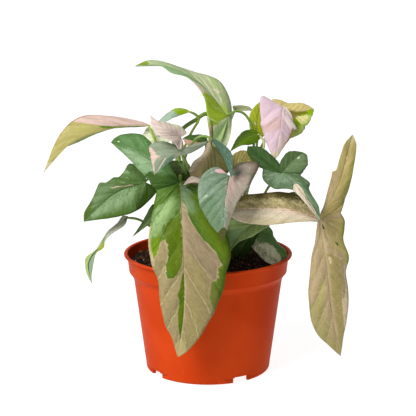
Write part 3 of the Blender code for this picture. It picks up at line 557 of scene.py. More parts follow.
def grow(name, skins, rib, left, right, stalk, notches=None, lobes=(), stalk_skin=green_stalk,
         relief=0.03, wave=0.03, ripple=0.018, veins=9, stalk_r=0.0013):
    """A leaf: its blade and lobes as one thin sheet with an upper and an under skin, and its stalk.
    Points are in millimetres. The stalk names its stem, the height it leaves it at, and its way."""
    main_rib = metres(rib)
    base = main_rib[0]
    notches = metres(notches or [rib[0], rib[0]])
    halves = [(main_rib, [notches[0]] + metres(left), 1, 0),
              (main_rib, [notches[1]] + metres(right), -1, 0)]
    for k, lobe in enumerate(lobes):
        lobe_rib = [base] + metres(lobe["rib"])
        turn = (1, -1)[k]
        skin = min(k + 1, len(skins) - 1)
        halves.append((lobe_rib, [base] + metres(lobe["inner"]), turn, skin))
        halves.append((lobe_rib, [notches[k]] + metres(lobe["outer"]), -turn, skin))
    verts, uvs, faces, kinds = [], [], [], []
    rows, columns = fan_rows + body_rows, blade_columns
    for spine, edge, side, skin in halves:
        outline = smooth_route(edge + [spine[-1]], edge_steps)
        points, places = half_blade(smooth_route(spine, rib_steps), outline, side, relief, wave,
                                    veins if skin == 0 else 0.6 * veins, ripple)
        start = len(verts)
        verts += list(points)
        uvs += list(places)
        for i in range(rows):
            for j in range(columns):
                a = start + i * (columns + 1) + j
                face = (a, a + columns + 1, a + columns + 2, a + 1)
                faces.append(face if side > 0 else face[::-1])
                kinds.append(2 * skin)
    blade = joined(name + "_blade", verts, faces, [f for pair in skins for f in pair], kinds, uvs)
    bm = bmesh.new()
    bm.from_mesh(blade.data)
    bmesh.ops.remove_doubles(bm, verts=bm.verts, dist=weld_gap)
    bmesh.ops.dissolve_degenerate(bm, edges=bm.edges, dist=1e-5)
    bm.to_mesh(blade.data)
    bm.free()
    sheet = blade.modifiers.new("thickness", "SOLIDIFY")
    sheet.thickness = blade_thick
    sheet.offset = 0.0
    sheet.material_offset = 1
    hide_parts(name)
    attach(blade, "root")

    stem, height, passing = stalk
    way = metres(passing)
    _, top = stems[stem]
    root = resample(stem_line(stem), [(height / 1000 - stem_root_z) / (top[2] - stem_root_z)])[0]
    out = np.array(way[0]) - root
    out[2] = 0.0
    out /= np.linalg.norm(out)
    away = root + out * (stem_r + stalk_reach) + np.array([0, 0, stalk_rise])
    ahead = np.array(main_rib[1]) - np.array(base)
    end = np.array(base) + ahead / np.linalg.norm(ahead) * 1.2 * stalk_r
    route = smooth_route([root + out * (stem_r - stalk_root), away] + way + [end], stalk_steps)
    t = np.linspace(0, 1, stalk_steps)
    radii = stalk_r * (0.86 + 0.30 * np.exp(-(t / 0.10) ** 2) - 0.25 * np.clip((t - 0.94) / 0.06, 0, 1))
    tube = round_stalk(name + "_stalk", route, radii, stalk_skin)
    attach(tube, "root")


def patch(shade, area, ragged=0.12, soft=0.025, share=1.0, rim=None, line=None):
    """A patch of another colour on a blade. Its area lists places along the rib, each with the
    patch's right and left limit, from -1 at the right edge through 0 at the rib to 1 at the left."""
    return tone(*shade), area, ragged, soft, share, rim and tone(*rim), line and tone(*line)


def band(start, end):
    """An area right across the blade, between two places along the rib."""
    return [(start, -1.25, 1.25), (end, -1.25, 1.25)]


def leaf_skins(name, ground, patches=(), rib=None, vein=None, veins=9, line=0.25, fleck=None, edge=None,
               seed=0.0, back=0.45, grain_shade_and_sheen=0.5, quilted=0.5):
    """The upper and the under skin of a blade: its ground colour, patches, veins, midrib and edge, with
    painted shade by the veins and a fine grain of painted shade and sheen.
    Colours are chart values from 0 to 255."""
    ground, rib, vein, fleck, edge = [c and tone(*c) for c in (ground, rib, vein, fleck, edge)]
    pair = []
    for side in ("upper", "under"):
        skin = Finish(f"{name}_{side}", {"Specular IOR Level": 0.1})
        uv = skin.node("ShaderNodeTexCoord", {}, {}, 2)
        u = skin.node("ShaderNodeSeparateXYZ", {}, {0: uv})
        w = 2.0 * skin.node("ShaderNodeSeparateXYZ", {}, {0: uv}, 1) - 1.0
        along = skin.node("ShaderNodeMapping", {}, {0: uv, 1: (seed, seed, 0.0), 3: (22.0, 5.0, 1.0)})
        streaks = skin.noise(along, 1.0, 4.0, 0.62)
        moved = skin.node("ShaderNodeMapping", {}, {0: uv, 1: (seed, 0.0, 0.0)})
        clouds = skin.noise(moved, 5.0, 3.0, 0.6, 0.4)
        across = skin.node("ShaderNodeMapping", {}, {0: uv, 1: (0.0, seed, 0.0), 3: (80.0, 20.0, 1.0)})
        grain = skin.noise(across, 1.0, 4.0, 0.6)
        fine = skin.noise(uv, 90.0, 2.0)
        colour = skin.mix(skin.step(clouds, 0.32, 0.68), ground, dimmed(ground, 0.84))
        if fleck:
            colour = skin.mix(skin.step(streaks, 0.57, 0.64), colour, fleck)
        lines = vein or lifted(ground, 0.35)
        for shade, area, ragged, soft, share, rim, own_line in patches:
            bent = w + 1.6 * ragged * (streaks - 0.5) + 2.4 * ragged * (grain - 0.5)
            spot = u + 0.3 * ragged * (grain + clouds - 1.0)
            low = skin.node("ShaderNodeValToRGB", {"stops": limit(area, 1, 0.9, soft)}, {0: spot})
            high = skin.node("ShaderNodeValToRGB", {"stops": limit(area, 2, 0.1, soft)}, {0: spot})
            depth = bent.sum("MINIMUM", bent - 2.5 * (low - 0.5), 2.5 * (high - 0.5) - bent)
            if rim:
                colour = skin.mix(skin.step(depth, -0.06, -0.02), colour, rim)
            if own_line:
                lines = skin.mix(skin.step(depth, -soft, soft), lines, own_line)
            colour = skin.mix(share * skin.step(depth, -soft, soft), colour,
                              skin.mix(skin.step(streaks, 0.3, 0.7), shade, dimmed(shade, 0.88)))
        # Painted shade: each strip between side veins darkens towards the next vein, as a quilted blade
        # shades itself. Vein lines take the vein colour along the creases; where that colour is darker
        # than the blade it is painted shade in the sunken crease.
        along = veins * (u - 0.1 * abs(w)) + 0.5 * (clouds - 0.5)
        after = along % 1.0
        crease = skin.step(abs((along + 0.5) % 1.0 - 0.5), 0.012, 0.055, 1.0, 0.0)
        quilt_shade = skin.step(after, 0.35, 1.0) * skin.step(abs(w), 0.02, 0.2) * skin.step(streaks, 0.25, 0.6)
        shaded = skin.mix(1.0, colour, (0.62, 0.68, 0.55, 1.0), "MULTIPLY")
        colour = skin.mix(quilted * quilt_shade, colour, shaded)
        colour = skin.mix(line * crease * skin.step(streaks, 0.25, 0.6), colour, lines)
        # Painted shade and sheen in a fine grain: the grain's hollows are darkened, and the sparse pale
        # flecks are partly painted sheen and partly the leaf's own specks.
        colour = skin.mix(grain_shade_and_sheen * skin.step(grain, 0.38, 0.56, 1.0, 0.0), colour,
                          skin.mix(1.0, colour, (0.55, 0.62, 0.42, 1.0), "MULTIPLY"))
        colour = skin.mix(0.4 * grain_shade_and_sheen * skin.step(grain, 0.6, 0.78), colour, tone(206, 212, 176))
        # The midrib takes the rib colour; a rib colour darker than the blade is painted shade in the fold
        # along the midrib.
        colour = skin.mix(skin.step(abs(w), 0.008, 0.026, 0.8, 0.0), colour, rib or lifted(ground, 0.3))
        if edge:
            colour = skin.mix(skin.step(abs(w), 0.955, 0.985), colour, edge)
        if side == "under":
            colour = skin.mix(back, colour, tone(178, 182, 138))
        skin.feed("Base Color", colour)
        skin.feed("Roughness", blade_roughness + 0.16 * clouds)
        skin.bump(grain + 0.5 * fine + 1.2 * (1.0 - crease), 0.00016, 0.5)
        pair.append(skin)
    return pair


def limit(area, side, shut, soft):
    """Ramp stops for one limit of an area, which is shut before its first place and after its last."""
    gap = max(0.01, 0.12 * soft)
    stops = [(place[0], 0.5 + 0.4 * place[side]) for place in area]
    return [(max(area[0][0] - gap, 0.0), shut), *stops, (min(area[-1][0] + gap, 1.0), shut)]


def dimmed(colour, share):
    """The colour at this share of its brightness."""
    return tuple(c * share for c in colour[:3]) + (1.0,)


def lifted(colour, share):
    """The colour moved by this share towards a pale grey."""
    return tuple(c + (0.75 - c) * share for c in colour[:3]) + (1.0,)


front_main = leaf_skins("front", (82, 112, 38), [
    # Painted sheen: a pale streak across the left half.
    patch((146, 174, 116), [(.29, -.9, -.5), (.33, -.95, -.2), (.37, -1.0, -.16), (.43, -1.0, -.35)],
          ragged=.35, soft=.25, share=.8),
    patch((98, 126, 66), [(.12, -.8, -.25), (.17, -.8, -.2), (.21, -.7, -.2)], ragged=.35, soft=.25,
          share=.7),
    # Painted sheen: a silvery band right of the upper midrib.
    patch((120, 142, 114), [(.12, .06, .28), (.20, .04, .34), (.33, .05, .28), (.38, .10, .20)],
          ragged=.2, soft=.1, share=.85),
    patch((88, 108, 16), [(.40, -.6, -.1), (.47, -.6, 0), (.53, -.6, 0), (.64, -.5, 0)], ragged=.25,
          soft=.15, share=.9),
    patch((112, 140, 22), [(.41, -1.25, -.65), (.49, -1.25, -.65), (.55, -1.25, -.8)], ragged=.2, soft=.1,
          share=.9),
    patch((92, 112, 26), [(.26, .35, 1.1), (.36, .3, 1.0), (.44, .7, 1.1), (.70, .7, 1.1)], ragged=.25,
          soft=.3, share=.85),
    patch((148, 130, 104), [(.35, 0, .02), (.39, 0, .12), (.41, 0, .18), (.42, 0, .28), (.43, 0, .50),
          (.437, 0, .70), (.456, 0, .74), (.466, 0, .86), (.48, 0, .84), (.495, 0, .78), (.53, 0, .82),
          (.556, 0, .76), (.585, 0, .66), (.64, 0, .70), (.68, 0, .84), (.70, 0, 1.25), (1, 0, 1.25)],
          ragged=.08, rim=(170, 152, 116), line=(184, 172, 130)),
    patch((148, 136, 86), [(.56, .02, .6), (.75, .05, 1.25), (.95, 0, 1.25)], soft=.35, share=.7),
    patch((152, 136, 100), [(.455, -.60, -.55), (.47, -.68, -.52), (.495, -.78, -.49), (.506, -.86, -.49),
          (.53, -.93, -.50), (.55, -1.0, -.54), (.565, -1.25, -.62), (.60, -1.25, -.70),
          (.625, -1.25, -.68), (.64, -1.25, -.45), (.65, -1.25, 0), (1, -1.25, 0)], ragged=.08,
          rim=(178, 160, 128), line=(184, 172, 130)),
    patch((152, 136, 100), [(.60, -.03, 0), (.62, -.12, 0), (.635, -.30, 0), (.65, -.5, 0)], ragged=.05),
    patch((86, 108, 8), [(.645, -.04, 0), (.68, -.14, 0), (.70, -.16, 0), (.72, -.28, 0), (.755, -.20, 0),
          (.79, -.28, 0), (.856, -.30, 0), (.894, -.22, 0), (.93, -.06, 0)], ragged=.05,
          line=(72, 102, 8)),
    patch((176, 160, 112), band(.94, 1), soft=.3, share=.8),
    patch((186, 164, 132), [(.36, -1.25, -.96), (.42, -1.25, -.94), (.53, -1.25, -.92)], ragged=.05)],
    rib=(146, 144, 104), vein=(52, 84, 22), veins=8, line=.6, grain_shade_and_sheen=.4)
front_right_lobe = leaf_skins("front_right_lobe", (100, 126, 70), [
    patch((84, 110, 44), [(.3, -1.2, 0), (.7, -1.2, 0)], ragged=.2, soft=.3, share=.8)],
    rib=(156, 170, 130))
front_left_lobe = leaf_skins("front_left_lobe", (84, 120, 66), [
    patch((118, 152, 104), [(.30, .05, 1.25), (.6, 0, 1.25), (.97, 0, 1.25)], soft=.2, share=.85),
    # Painted sheen: a pale silvery patch on the lower half and a fainter one on the upper half.
    patch((154, 178, 144), [(.50, .2, .7), (.62, .12, .85), (.75, .08, .9), (.88, .05, .6)], ragged=.35,
          soft=.35, share=.75),
    patch((104, 140, 92), [(.6, -.8, -.3), (.75, -.85, -.25), (.9, -.7, -.2)], ragged=.35, soft=.3,
          share=.7),
    patch((56, 84, 26), [(.05, -1.25, 1.25), (.30, -.6, 1.25), (.40, .1, 1.1), (.50, .5, 1.0)], ragged=.2,
          soft=.25, share=.9),
    patch((236, 238, 206), [(.905, -.50, -.40), (.925, -.50, -.40)], ragged=0, soft=.04)],
    rib=(40, 68, 30), vein=(52, 84, 42), veins=7, line=.4, seed=2.0)
grow("leaf_front", [front_main, front_right_lobe, front_left_lobe],
     rib=[(-24, -62, 185), (-21, -86, 131), (-20.5, -90, 80), (-26, -92, 38)],
     left=[(18, -78, 138), (17.5, -85, 115), (10.5, -88, 91), (1, -90, 69), (-10.5, -92, 51.5),
         (-19, -92, 42.5)],
     right=[(-49.5, -78, 150), (-50, -82, 134), (-48.5, -84, 118), (-43.5, -86, 106), (-41, -88, 90),
         (-39.5, -89, 80), (-36.5, -90, 66), (-31, -91, 55)],
     notches=[(-3, -60, 176), (-44, -62, 177)],
     lobes=[dict(rib=[(-3, -60, 183), (15, -60, 173)], inner=[(-9, -60, 188), (9, -58, 183)],
                 outer=[(5, -62, 164)]),
            dict(rib=[(-53, -62, 207), (-83, -58, 219)], inner=[(-36, -62, 205), (-54, -54, 223),
                 (-70, -54, 226), (-79, -56, 223)], outer=[(-55, -60, 191), (-70, -58, 207)])],
     stalk=("stem_middle", 144, [(3, -20, 223), (-1, -24, 238), (-11, -32, 234), (-22, -38, 227),
         (-27, -42, 216), (-25, -42, 201), (-24, -45, 191)]), relief=.04, veins=8, stalk_r=0.0021)


# The middle leaf folds down its midrib: silvery green on its left, pink and tan on its right, with
# a brown upper lobe. It grows on the front stem.
centre_skins = leaf_skins("centre", (128, 148, 128), [
    patch((98, 124, 92), [(.40, -1.25, -.35), (.65, -1.25, -.2), (.9, -1.0, -.1)], ragged=.3, soft=.3,
          share=.8),
    patch((116, 138, 114), [(.1, -.5, -.05), (.3, -.4, 0), (.5, -.3, 0), (.7, -.2, 0)], ragged=.2,
          soft=.2, share=.8),
    patch((160, 146, 137), [(.20, .25, 1.25), (.27, .12, 1.25), (.40, 0, 1.25), (.45, 0, 1.25),
          (.49, .19, 1.25), (.555, -.02, 1.25), (.63, .12, 1.25), (.655, .44, 1.25), (.78, .53, 1.25),
          (.86, .35, 1.25), (.92, .1, 1.25)], ragged=.08, rim=(180, 164, 150)),
    patch((178, 148, 142), [(.22, .1, .5), (.35, .03, .45), (.5, .1, .35)], soft=.25, share=.7),
    patch((138, 126, 114), [(.66, .4, 1.25), (.80, .4, 1.25), (.92, .1, 1.25)], soft=.2, share=.8),
    patch((156, 162, 134), [(.45, .85, 1.25), (.62, .8, 1.25), (.80, .9, 1.25)], soft=.1, share=.9),
    patch((158, 144, 134), [(0, .32, 1.25), (.10, .28, 1.25), (.19, .38, 1.25), (.24, .8, 1.25)],
          ragged=.1, soft=.08),
    patch((104, 92, 76), [(0, .95, 1.25), (.08, .86, 1.25), (.16, .84, 1.25), (.26, .92, 1.25)],
          ragged=.1, soft=.15),
    patch((92, 112, 84), [(.0, .8, 1.25), (.08, .86, 1.25)], ragged=.1, soft=.05, share=.9),
    patch((176, 160, 146), [(.0, .62, .68), (.10, .60, .66), (.2, .64, .7)], ragged=.1, soft=.05,
          share=.6),
    patch((228, 180, 186), [(.02, -.78, -.28), (.07, -.80, -.26), (.13, -.7, -.36)], ragged=.15),
    patch((82, 80, 44), band(.86, 1), rim=(176, 164, 136))],
    rib=(84, 104, 78), vein=(100, 128, 104), veins=8, line=.4, fleck=(160, 180, 160), seed=1.0)
grow("leaf_centre", [centre_skins],
     rib=[(18, -74, 193), (14, -92, 172), (13, -100, 143)],
     left=[(27, -68, 203), (44, -62, 202), (37, -78, 190), (24, -90, 171)],
     right=[(6, -74, 201), (-8, -84, 190), (-5, -92, 167)],
     stalk=("stem_front", 128, [(20, -48, 158), (21, -66, 184)]), relief=.035, veins=8)


# A plain green leaf points left, with a painted sheen along its lower half and its edge nearly smooth. Its
# stalk rises from the left stem.
low_left_skins = leaf_skins("low_left", (84, 110, 60), [
    # Painted sheen along the lower half.
    patch((136, 162, 120), [(.38, .08, .4), (.52, .1, .7), (.70, .08, .8), (.90, 0, .7)], ragged=.45,
          soft=.35, share=.85),
    patch((116, 140, 100), [(.45, -.9, -.35), (.65, -.9, -.3), (.8, -.8, -.3)], ragged=.4, soft=.35,
          share=.75),
    patch((76, 106, 30), [(.45, .78, 1.25), (.7, .72, 1.25), (.85, .8, 1.25)], soft=.2, share=.8),
    patch((46, 68, 10), [(0, -.3, 1.25), (.12, -.1, 1.25), (.24, .1, 1.25), (.36, .6, 1.25)], ragged=.2,
          soft=.3, share=.95),
    patch((78, 98, 18), [(.74, -1.25, -.75), (.88, -1.25, -.45), (.97, -1.25, -.2)], soft=.15, share=.85),
    patch((208, 176, 160), [(.38, -.12, -.06), (.46, -.30, -.22), (.52, -.42, -.36)], ragged=.06,
          soft=.015)],
    # Its dark rib colour is painted shade in the fold along the midrib.
    rib=(44, 68, 22), vein=(60, 88, 44), veins=7, line=.3, fleck=(106, 134, 88), seed=3.0)
grow("leaf_low_left", [low_left_skins],
     rib=[(-54, -48, 182), (-80, -52, 173.5), (-107, -62, 150.5)],
     left=[(-44, -50, 177), (-48, -53, 170), (-59, -56, 160.5), (-71.5, -57, 155), (-89, -60, 152.5)],
     right=[(-55, -46, 190), (-67, -44, 198), (-73, -46, 191), (-77.5, -47, 186.5), (-82, -48, 186.5),
         (-88, -49, 182), (-93.5, -50, 182), (-96.5, -52, 176.5), (-101, -55, 167), (-106.5, -59, 158)],
     stalk=("stem_left", 133, [(-36, -28, 176), (-48, -40, 186)]), relief=.035, veins=7, ripple=.006)


# The long leaf that reaches furthest left is olive and khaki, and pink at its upper base. A lime
# green stalk from the left stem holds it out to the side.
far_left_skins = leaf_skins("far_left", (176, 166, 102), [
    patch((158, 162, 96), [(.60, .2, 1.25), (.8, .1, 1.25), (.95, 0, 1.25)], soft=.2, share=.8),
    patch((112, 140, 48), [(.38, .1, 1.25), (.55, .05, 1.25), (.66, .15, 1.25), (.76, .5, 1.25)],
          ragged=.1, soft=.06, rim=(196, 196, 124)),
    patch((208, 178, 170), [(0, -1.25, .3), (.25, -1.25, .1), (.42, -1.25, -.08), (.50, -1.25, -.14),
          (.535, -1.25, -.9)], ragged=.06, rim=(190, 158, 130)),
    patch((96, 124, 40), [(.30, .05, 1.25), (.42, -.08, .5), (.47, -.12, .2), (.53, -.32, -.1)],
          ragged=.08),
    patch((196, 186, 148), band(.93, 1), soft=.3, share=.9)],
    rib=(190, 182, 124), vein=(200, 192, 138), veins=10, line=.4, edge=(150, 112, 84), seed=4.0,
    grain_shade_and_sheen=.25)
grow("leaf_far_left", [far_left_skins],
     rib=[(-50, -36, 230), (-85, -42, 228), (-117, -48, 217), (-142, -48, 191)],
     left=[(-64, -28, 228), (-80, -28, 228), (-84.5, -29, 228), (-95, -30, 227), (-101, -32, 223.8),
         (-110.5, -34, 216.5), (-120, -38, 213), (-128.5, -42, 209.5)],
     right=[(-59, -33, 233), (-85, -36, 238), (-111, -40, 238), (-129, -46, 221)],
     stalk=("stem_left", 142, [(-37, -18, 184), (-44, -40, 213)]), stalk_skin=lime_stalk, ripple=.008)


# A small greyed green leaf hangs in front, pink along its left edge. Its stalk climbs from the
# front stem, bends over and lets it hang.
grey_skins = leaf_skins("grey", (140, 152, 130), [
    patch((104, 130, 112), [(.45, .25, 1.25), (.65, .3, 1.25), (.85, .5, 1.25)], soft=.15, share=.9),
    patch((206, 178, 168), [(.30, -1.25, -.95), (.36, -1.25, -.88), (.42, -1.25, -.76),
          (.50, -1.25, -.70), (.575, -1.25, -.30), (.60, -1.25, -.5), (.68, -1.25, -.75),
          (.80, -1.25, -.75), (.95, -1.25, -.6)], ragged=.1),
    patch((206, 178, 168), [(.60, .02, .18), (.75, .3, .45), (.86, .5, .7)], ragged=.04),
    patch((206, 170, 160), [(.28, .48, .60), (.35, .62, .76)], ragged=.04)],
    rib=(168, 178, 154), vein=(164, 176, 154), veins=7, seed=5.0, grain_shade_and_sheen=.3)
grow("leaf_grey", [grey_skins],
     rib=[(-24, -80, 217), (-36, -86, 211), (-45, -88, 197)],
     left=[(-12, -74, 220), (1, -70, 222), (-13, -76, 214), (-26, -82, 211), (-38, -88, 203)],
     right=[(-27, -78, 220), (-40, -78, 224), (-49, -80, 219), (-47, -86, 207)],
     stalk=("stem_front", 139, [(-9, -44, 168), (-13, -56, 186), (-17.5, -63, 200), (-21, -72, 210)]),
     ripple=.02)


# Above it stands a small dusty pink leaf with a greener edge, wavy and crinkled. A tan stalk from
# the front stem bears it.
pink_small_skins = leaf_skins("pink_small", (220, 200, 191), [
    patch((206, 204, 176), [(.05, -1.25, -.72), (.35, -1.25, -.6), (.7, -1.25, -.7)], soft=.15, share=.9)],
    rib=(212, 184, 172), vein=(204, 174, 162), veins=8, line=.45, seed=6.0, grain_shade_and_sheen=.15)
grow("leaf_pink_small", [pink_small_skins],
     rib=[(-23, -76, 227), (-34, -86, 235), (-48, -84, 247)],
     left=[(-22, -82, 221), (-24, -84, 218), (-29, -88, 225), (-40, -90, 230), (-47, -88, 238)],
     right=[(-18, -74, 230), (-23, -76, 236), (-34, -80, 240), (-43, -82, 242)],
     stalk=("stem_front", 157, [(-19, -44, 190), (-21, -50, 204), (-22, -62, 218)]),
     stalk_skin=tan_stalk, wave=.05, ripple=.03)


# A small leaf is turned nearly edge on, lime near its stalk and pale blue green beyond. A lime
# green stalk from the left stem bears it.
twisted_skins = leaf_skins("twisted", (154, 176, 156), [
    patch((140, 172, 18), [(0, -1.25, 1.25), (.34, -1.25, 1.25), (.50, -1.25, .9), (.60, -.4, .3)],
          ragged=.15, soft=.06),
    patch((214, 186, 172), [(.55, -1.25, -.7), (.8, -1.25, -.7)], soft=.06)],
    rib=(184, 194, 140), seed=7.0, grain_shade_and_sheen=.3)
grow("leaf_twisted", [twisted_skins],
     rib=[(-15, -42, 243), (-28, -48, 245), (-43, -54, 236)],
     left=[(-19, -46, 242), (-29, -54, 240), (-35, -56, 237)],
     right=[(-21, -38, 245), (-30, -42, 245), (-37, -48, 241)],
     stalk=("stem_left", 157, [(-21, -30, 194), (-22, -33, 205), (-15, -33, 222), (-8, -35, 235),
         (-11, -38, 240)]), stalk_skin=lime_stalk)


# The highest leaf arches left over the plant on a tall stalk from the right stem. It is pale sage
# with whiter veins, an olive patch by its base, and two small lobes that hang down.
top_skins = leaf_skins("top", (192, 201, 158), [
    patch((152, 171, 126), [(.60, -1.25, 1.25), (.8, -1.25, 1.25), (1, -1.25, 1.25)], soft=.5, share=.8),
    patch((126, 158, 112), [(.50, .15, 1.25), (.75, .05, 1.25), (.92, .1, 1.25)], ragged=.25, soft=.3,
          share=.8),
    patch((172, 190, 130), [(.18, -1.25, -.1), (.28, -1.25, -.15), (.38, -1.1, -.3)], ragged=.2, soft=.25,
          share=.8),
    patch((120, 142, 36), [(.89, -1.25, -.5), (.95, -1.25, .2), (1, -1.25, 1.25)], soft=.08),
    patch((232, 212, 200), [(.30, -.62, -.54), (.40, -.50, -.42)], ragged=.25),
    patch((148, 174, 40), [(.25, .15, 1.0), (.30, -.25, 1.0), (.36, -.05, 1.25), (.42, .4, 1.25)],
          ragged=.15, soft=.12, share=.95),
    patch((214, 180, 168), [(.42, .88, 1.25), (.50, .88, 1.25)]),
    patch((150, 180, 116), [(0, -1.25, 1.25), (.17, -.3, 1.25), (.22, .4, 1.25)], ragged=.2, soft=.25,
          share=.9),
    patch((178, 160, 122), [(.15, .92, 1.25), (.26, .9, 1.25)])],
    rib=(206, 216, 186), vein=(212, 222, 194), veins=10, line=.4, fleck=(206, 212, 184), seed=8.0,
    grain_shade_and_sheen=.35)
grow("leaf_top", [top_skins],
     rib=[(18, -24, 236), (-4, -22, 262), (-31, -19, 278), (-64, -16, 279)],
     left=[(10.5, -37, 213), (4, -39, 208.5), (1, -38, 226), (-1.5, -36, 240), (-4, -34, 255),
         (-16, -28, 270), (-32, -24, 274), (-43, -20, 280)],
     right=[(11.2, -36, 213), (13.5, -36, 208), (18.5, -31, 217), (20.5, -24, 228), (20, -12, 246),
         (11, -9, 263), (-4, -10, 271), (-26, -12, 278), (-49, -14, 284)],
     stalk=("stem_right", 160, [(34, -12, 182), (40, -17, 206), (39, -18, 224), (33, -18, 236),
         (25, -21, 240)]))


# A crinkled pink leaf with curved veins stands at the right of the top. Its tan stalk rises from
# the right stem.
pink_top_skins = leaf_skins("pink_top", (206, 180, 192), [
    patch((226, 212, 200), [(.05, .3, 1.25), (.25, .2, 1.25), (.45, .2, 1.25)], soft=.3, share=.6),
    # Painted shade: a brownish band where the crinkled blade shades itself.
    patch((188, 156, 150), [(.38, -1.25, -.2), (.46, -1.25, .05), (.52, -.9, .1), (.58, -.5, .05)],
          ragged=.3, soft=.2, share=.8),
    patch((222, 200, 186), [(.66, .1, 1.25), (.85, 0, 1.25)], soft=.3, share=.7),
    patch((176, 142, 112), [(.40, .86, 1.25), (.55, .84, 1.25), (.8, .9, 1.25)], soft=.05),
    patch((206, 194, 158), band(.88, 1), soft=.2, share=.8),
    patch((124, 152, 84), [(.29, .10, .17), (.36, .12, .20)], ragged=.08)],
    rib=(208, 156, 172), vein=(206, 150, 168), veins=5, line=.5, seed=9.0, grain_shade_and_sheen=.12, quilted=.12)
grow("leaf_pink_top", [pink_top_skins],
     rib=[(64.5, -36, 246), (62, -48, 229), (59.5, -51, 214), (58, -52, 203)],
     left=[(68, -36, 245.5), (72, -36, 239.5), (74.5, -39, 232), (77, -41, 228), (73.5, -43, 226),
         (68, -46, 217), (62, -50, 208.5)],
     right=[(56, -32, 250.5), (46, -34, 255.5), (44.5, -37, 247.5), (45.5, -42, 236.5), (47, -46, 226),
         (51, -50, 215), (55, -52, 206.5)],
     stalk=("stem_right", 148, [(34, -15, 180), (43, -21, 198), (53, -26, 224), (61, -29, 240)]),
     stalk_skin=tan_stalk, relief=.04, wave=.05, ripple=.02, veins=5)


# Behind it a lime leaf shows a khaki fold along its top, with a rippled edge. It grows on the
# right stem too.
lime_top_skins = leaf_skins("lime_top", (138, 170, 16), [
    patch((96, 124, 10), [(0, -1.25, -.2), (.25, -1.25, -.3), (.35, -1.25, -.6)], soft=.2, share=.6),
    # Painted shade: a brown triangle under the khaki fold.
    patch((140, 118, 74), [(.10, -.5, 0), (.45, -.45, 0), (.62, -.25, 0)], ragged=.1, soft=.05),
    patch((222, 214, 146), [(.40, -.85, -.45), (.55, -.85, -.40), (.74, -.75, -.45)], ragged=.15),
    patch((206, 188, 124), [(0, .0, 1.25), (.3, .0, 1.25), (.62, .0, 1.25), (.82, .1, 1.25),
          (.92, .5, 1.25)], ragged=.04, rim=(180, 146, 96)),
    patch((112, 108, 26), [(.30, -.32, .06), (.55, -.34, .10), (.82, -.3, .08)], ragged=.2, soft=.12,
          share=.9),
    patch((176, 192, 100), [(.15, -1.25, -.78), (.45, -1.25, -.85), (.78, -1.25, -.7)], ragged=.2,
          soft=.06),
    patch((150, 150, 132), band(.96, 1))],
    rib=(176, 160, 96), seed=10.0, grain_shade_and_sheen=.3, quilted=.3)
grow("leaf_lime_top", [lime_top_skins],
     rib=[(64, -18, 243), (78, -18, 238.5), (93.5, -12, 240)],
     left=[(56, -14, 249), (63, -12, 248.5), (70, -11, 245.5), (82, -10, 245.5), (88.5, -10, 243)],
     right=[(66, -26, 220), (70, -28, 215.5), (80.5, -26, 221.5), (86, -23, 227), (91, -18, 234.5)],
     stalk=("stem_right", 154, [(34, -8, 180), (43, -7, 198), (58, -8, 226)]),
     stalk_skin=tan_stalk, ripple=.03)


# Behind the stalks at the right stands an olive leaf with fine pale specks. It grows on the back
# stem.
olive_back_skins = leaf_skins("olive_back", (158, 168, 40), [
    patch((200, 200, 150), [(.50, .2, .4), (.54, .2, .4)], ragged=.1),
    patch((150, 140, 60), band(.1, .3), soft=.3, share=.6)],
    seed=11.0)
grow("leaf_olive_back", [olive_back_skins],
     rib=[(44, -10, 212), (44, -6, 229), (48, 0, 247)],
     left=[(37, -8, 221), (38, -4, 237)],
     right=[(53, -4, 220), (55, 2, 239)],
     stalk=("stem_back", 148, [(22, 12, 176), (40, 0, 192)]))


# A short green leaf lies among the stalks, yellower on top. A pale stalk from the right stem bears
# it.
wedge_skins = leaf_skins("wedge", (84, 112, 16), [
    patch((60, 76, 30), [(.3, -1.25, -.4), (.9, -1.25, -.3)], soft=.3, share=.8)],
    seed=12.0)
grow("leaf_wedge", [wedge_skins],
     rib=[(45, -26, 221), (33, -32, 218), (19, -40, 208)],
     left=[(42, -34, 214), (29, -40, 213)],
     right=[(39, -22, 224), (28, -28, 221)],
     stalk=("stem_right", 136, [(36, -18, 172), (43, -26, 190), (49, -27, 212)]), stalk_skin=pale_stalk)


# A deep green leaf at the right carries a pink and cream band beside its midrib, and has two
# darker lobes. It grows on the right stem.
dark_right_main = leaf_skins("dark_right", (84, 106, 76), [
    patch((130, 150, 126), [(.05, -.6, -.1), (.25, -.6, .1), (.45, -.4, .3), (.8, .2, .6)], ragged=.6,
          soft=.25, share=.65),
    patch((222, 206, 188), [(.47, -.85, -.2), (.50, -1.0, .16), (.58, -1.1, .24), (.64, -1.25, .1),
          (.68, -1.25, .02), (.73, -1.25, .05), (.80, -1.25, .1), (.90, -1.25, .25), (.98, -1.25, .2)],
          ragged=.1, soft=.03, rim=(196, 176, 150)),
    patch((150, 166, 140), [(.9, -.6, .2), (1, -1.25, 1.25)], soft=.1)],
    rib=(110, 132, 96), vein=(70, 96, 56), veins=7, line=.35, fleck=(112, 136, 98), seed=13.0)
dark_right_lobe = leaf_skins("dark_right_lobe", (70, 92, 52), [
    patch((116, 138, 100), [(.3, -.9, -.1), (.6, -1, 0), (.9, -.8, 0)], ragged=.5, soft=.3, share=.7),
    patch((190, 198, 170), [(.77, -.28, -.10), (.84, -.26, -.12)], ragged=.1)],
    vein=(60, 86, 44), seed=14.0, veins=6)
dark_right_back_lobe = leaf_skins("dark_right_back_lobe", (58, 84, 42), rib=(40, 62, 30),
    vein=(40, 62, 30), line=.5, seed=15.0)
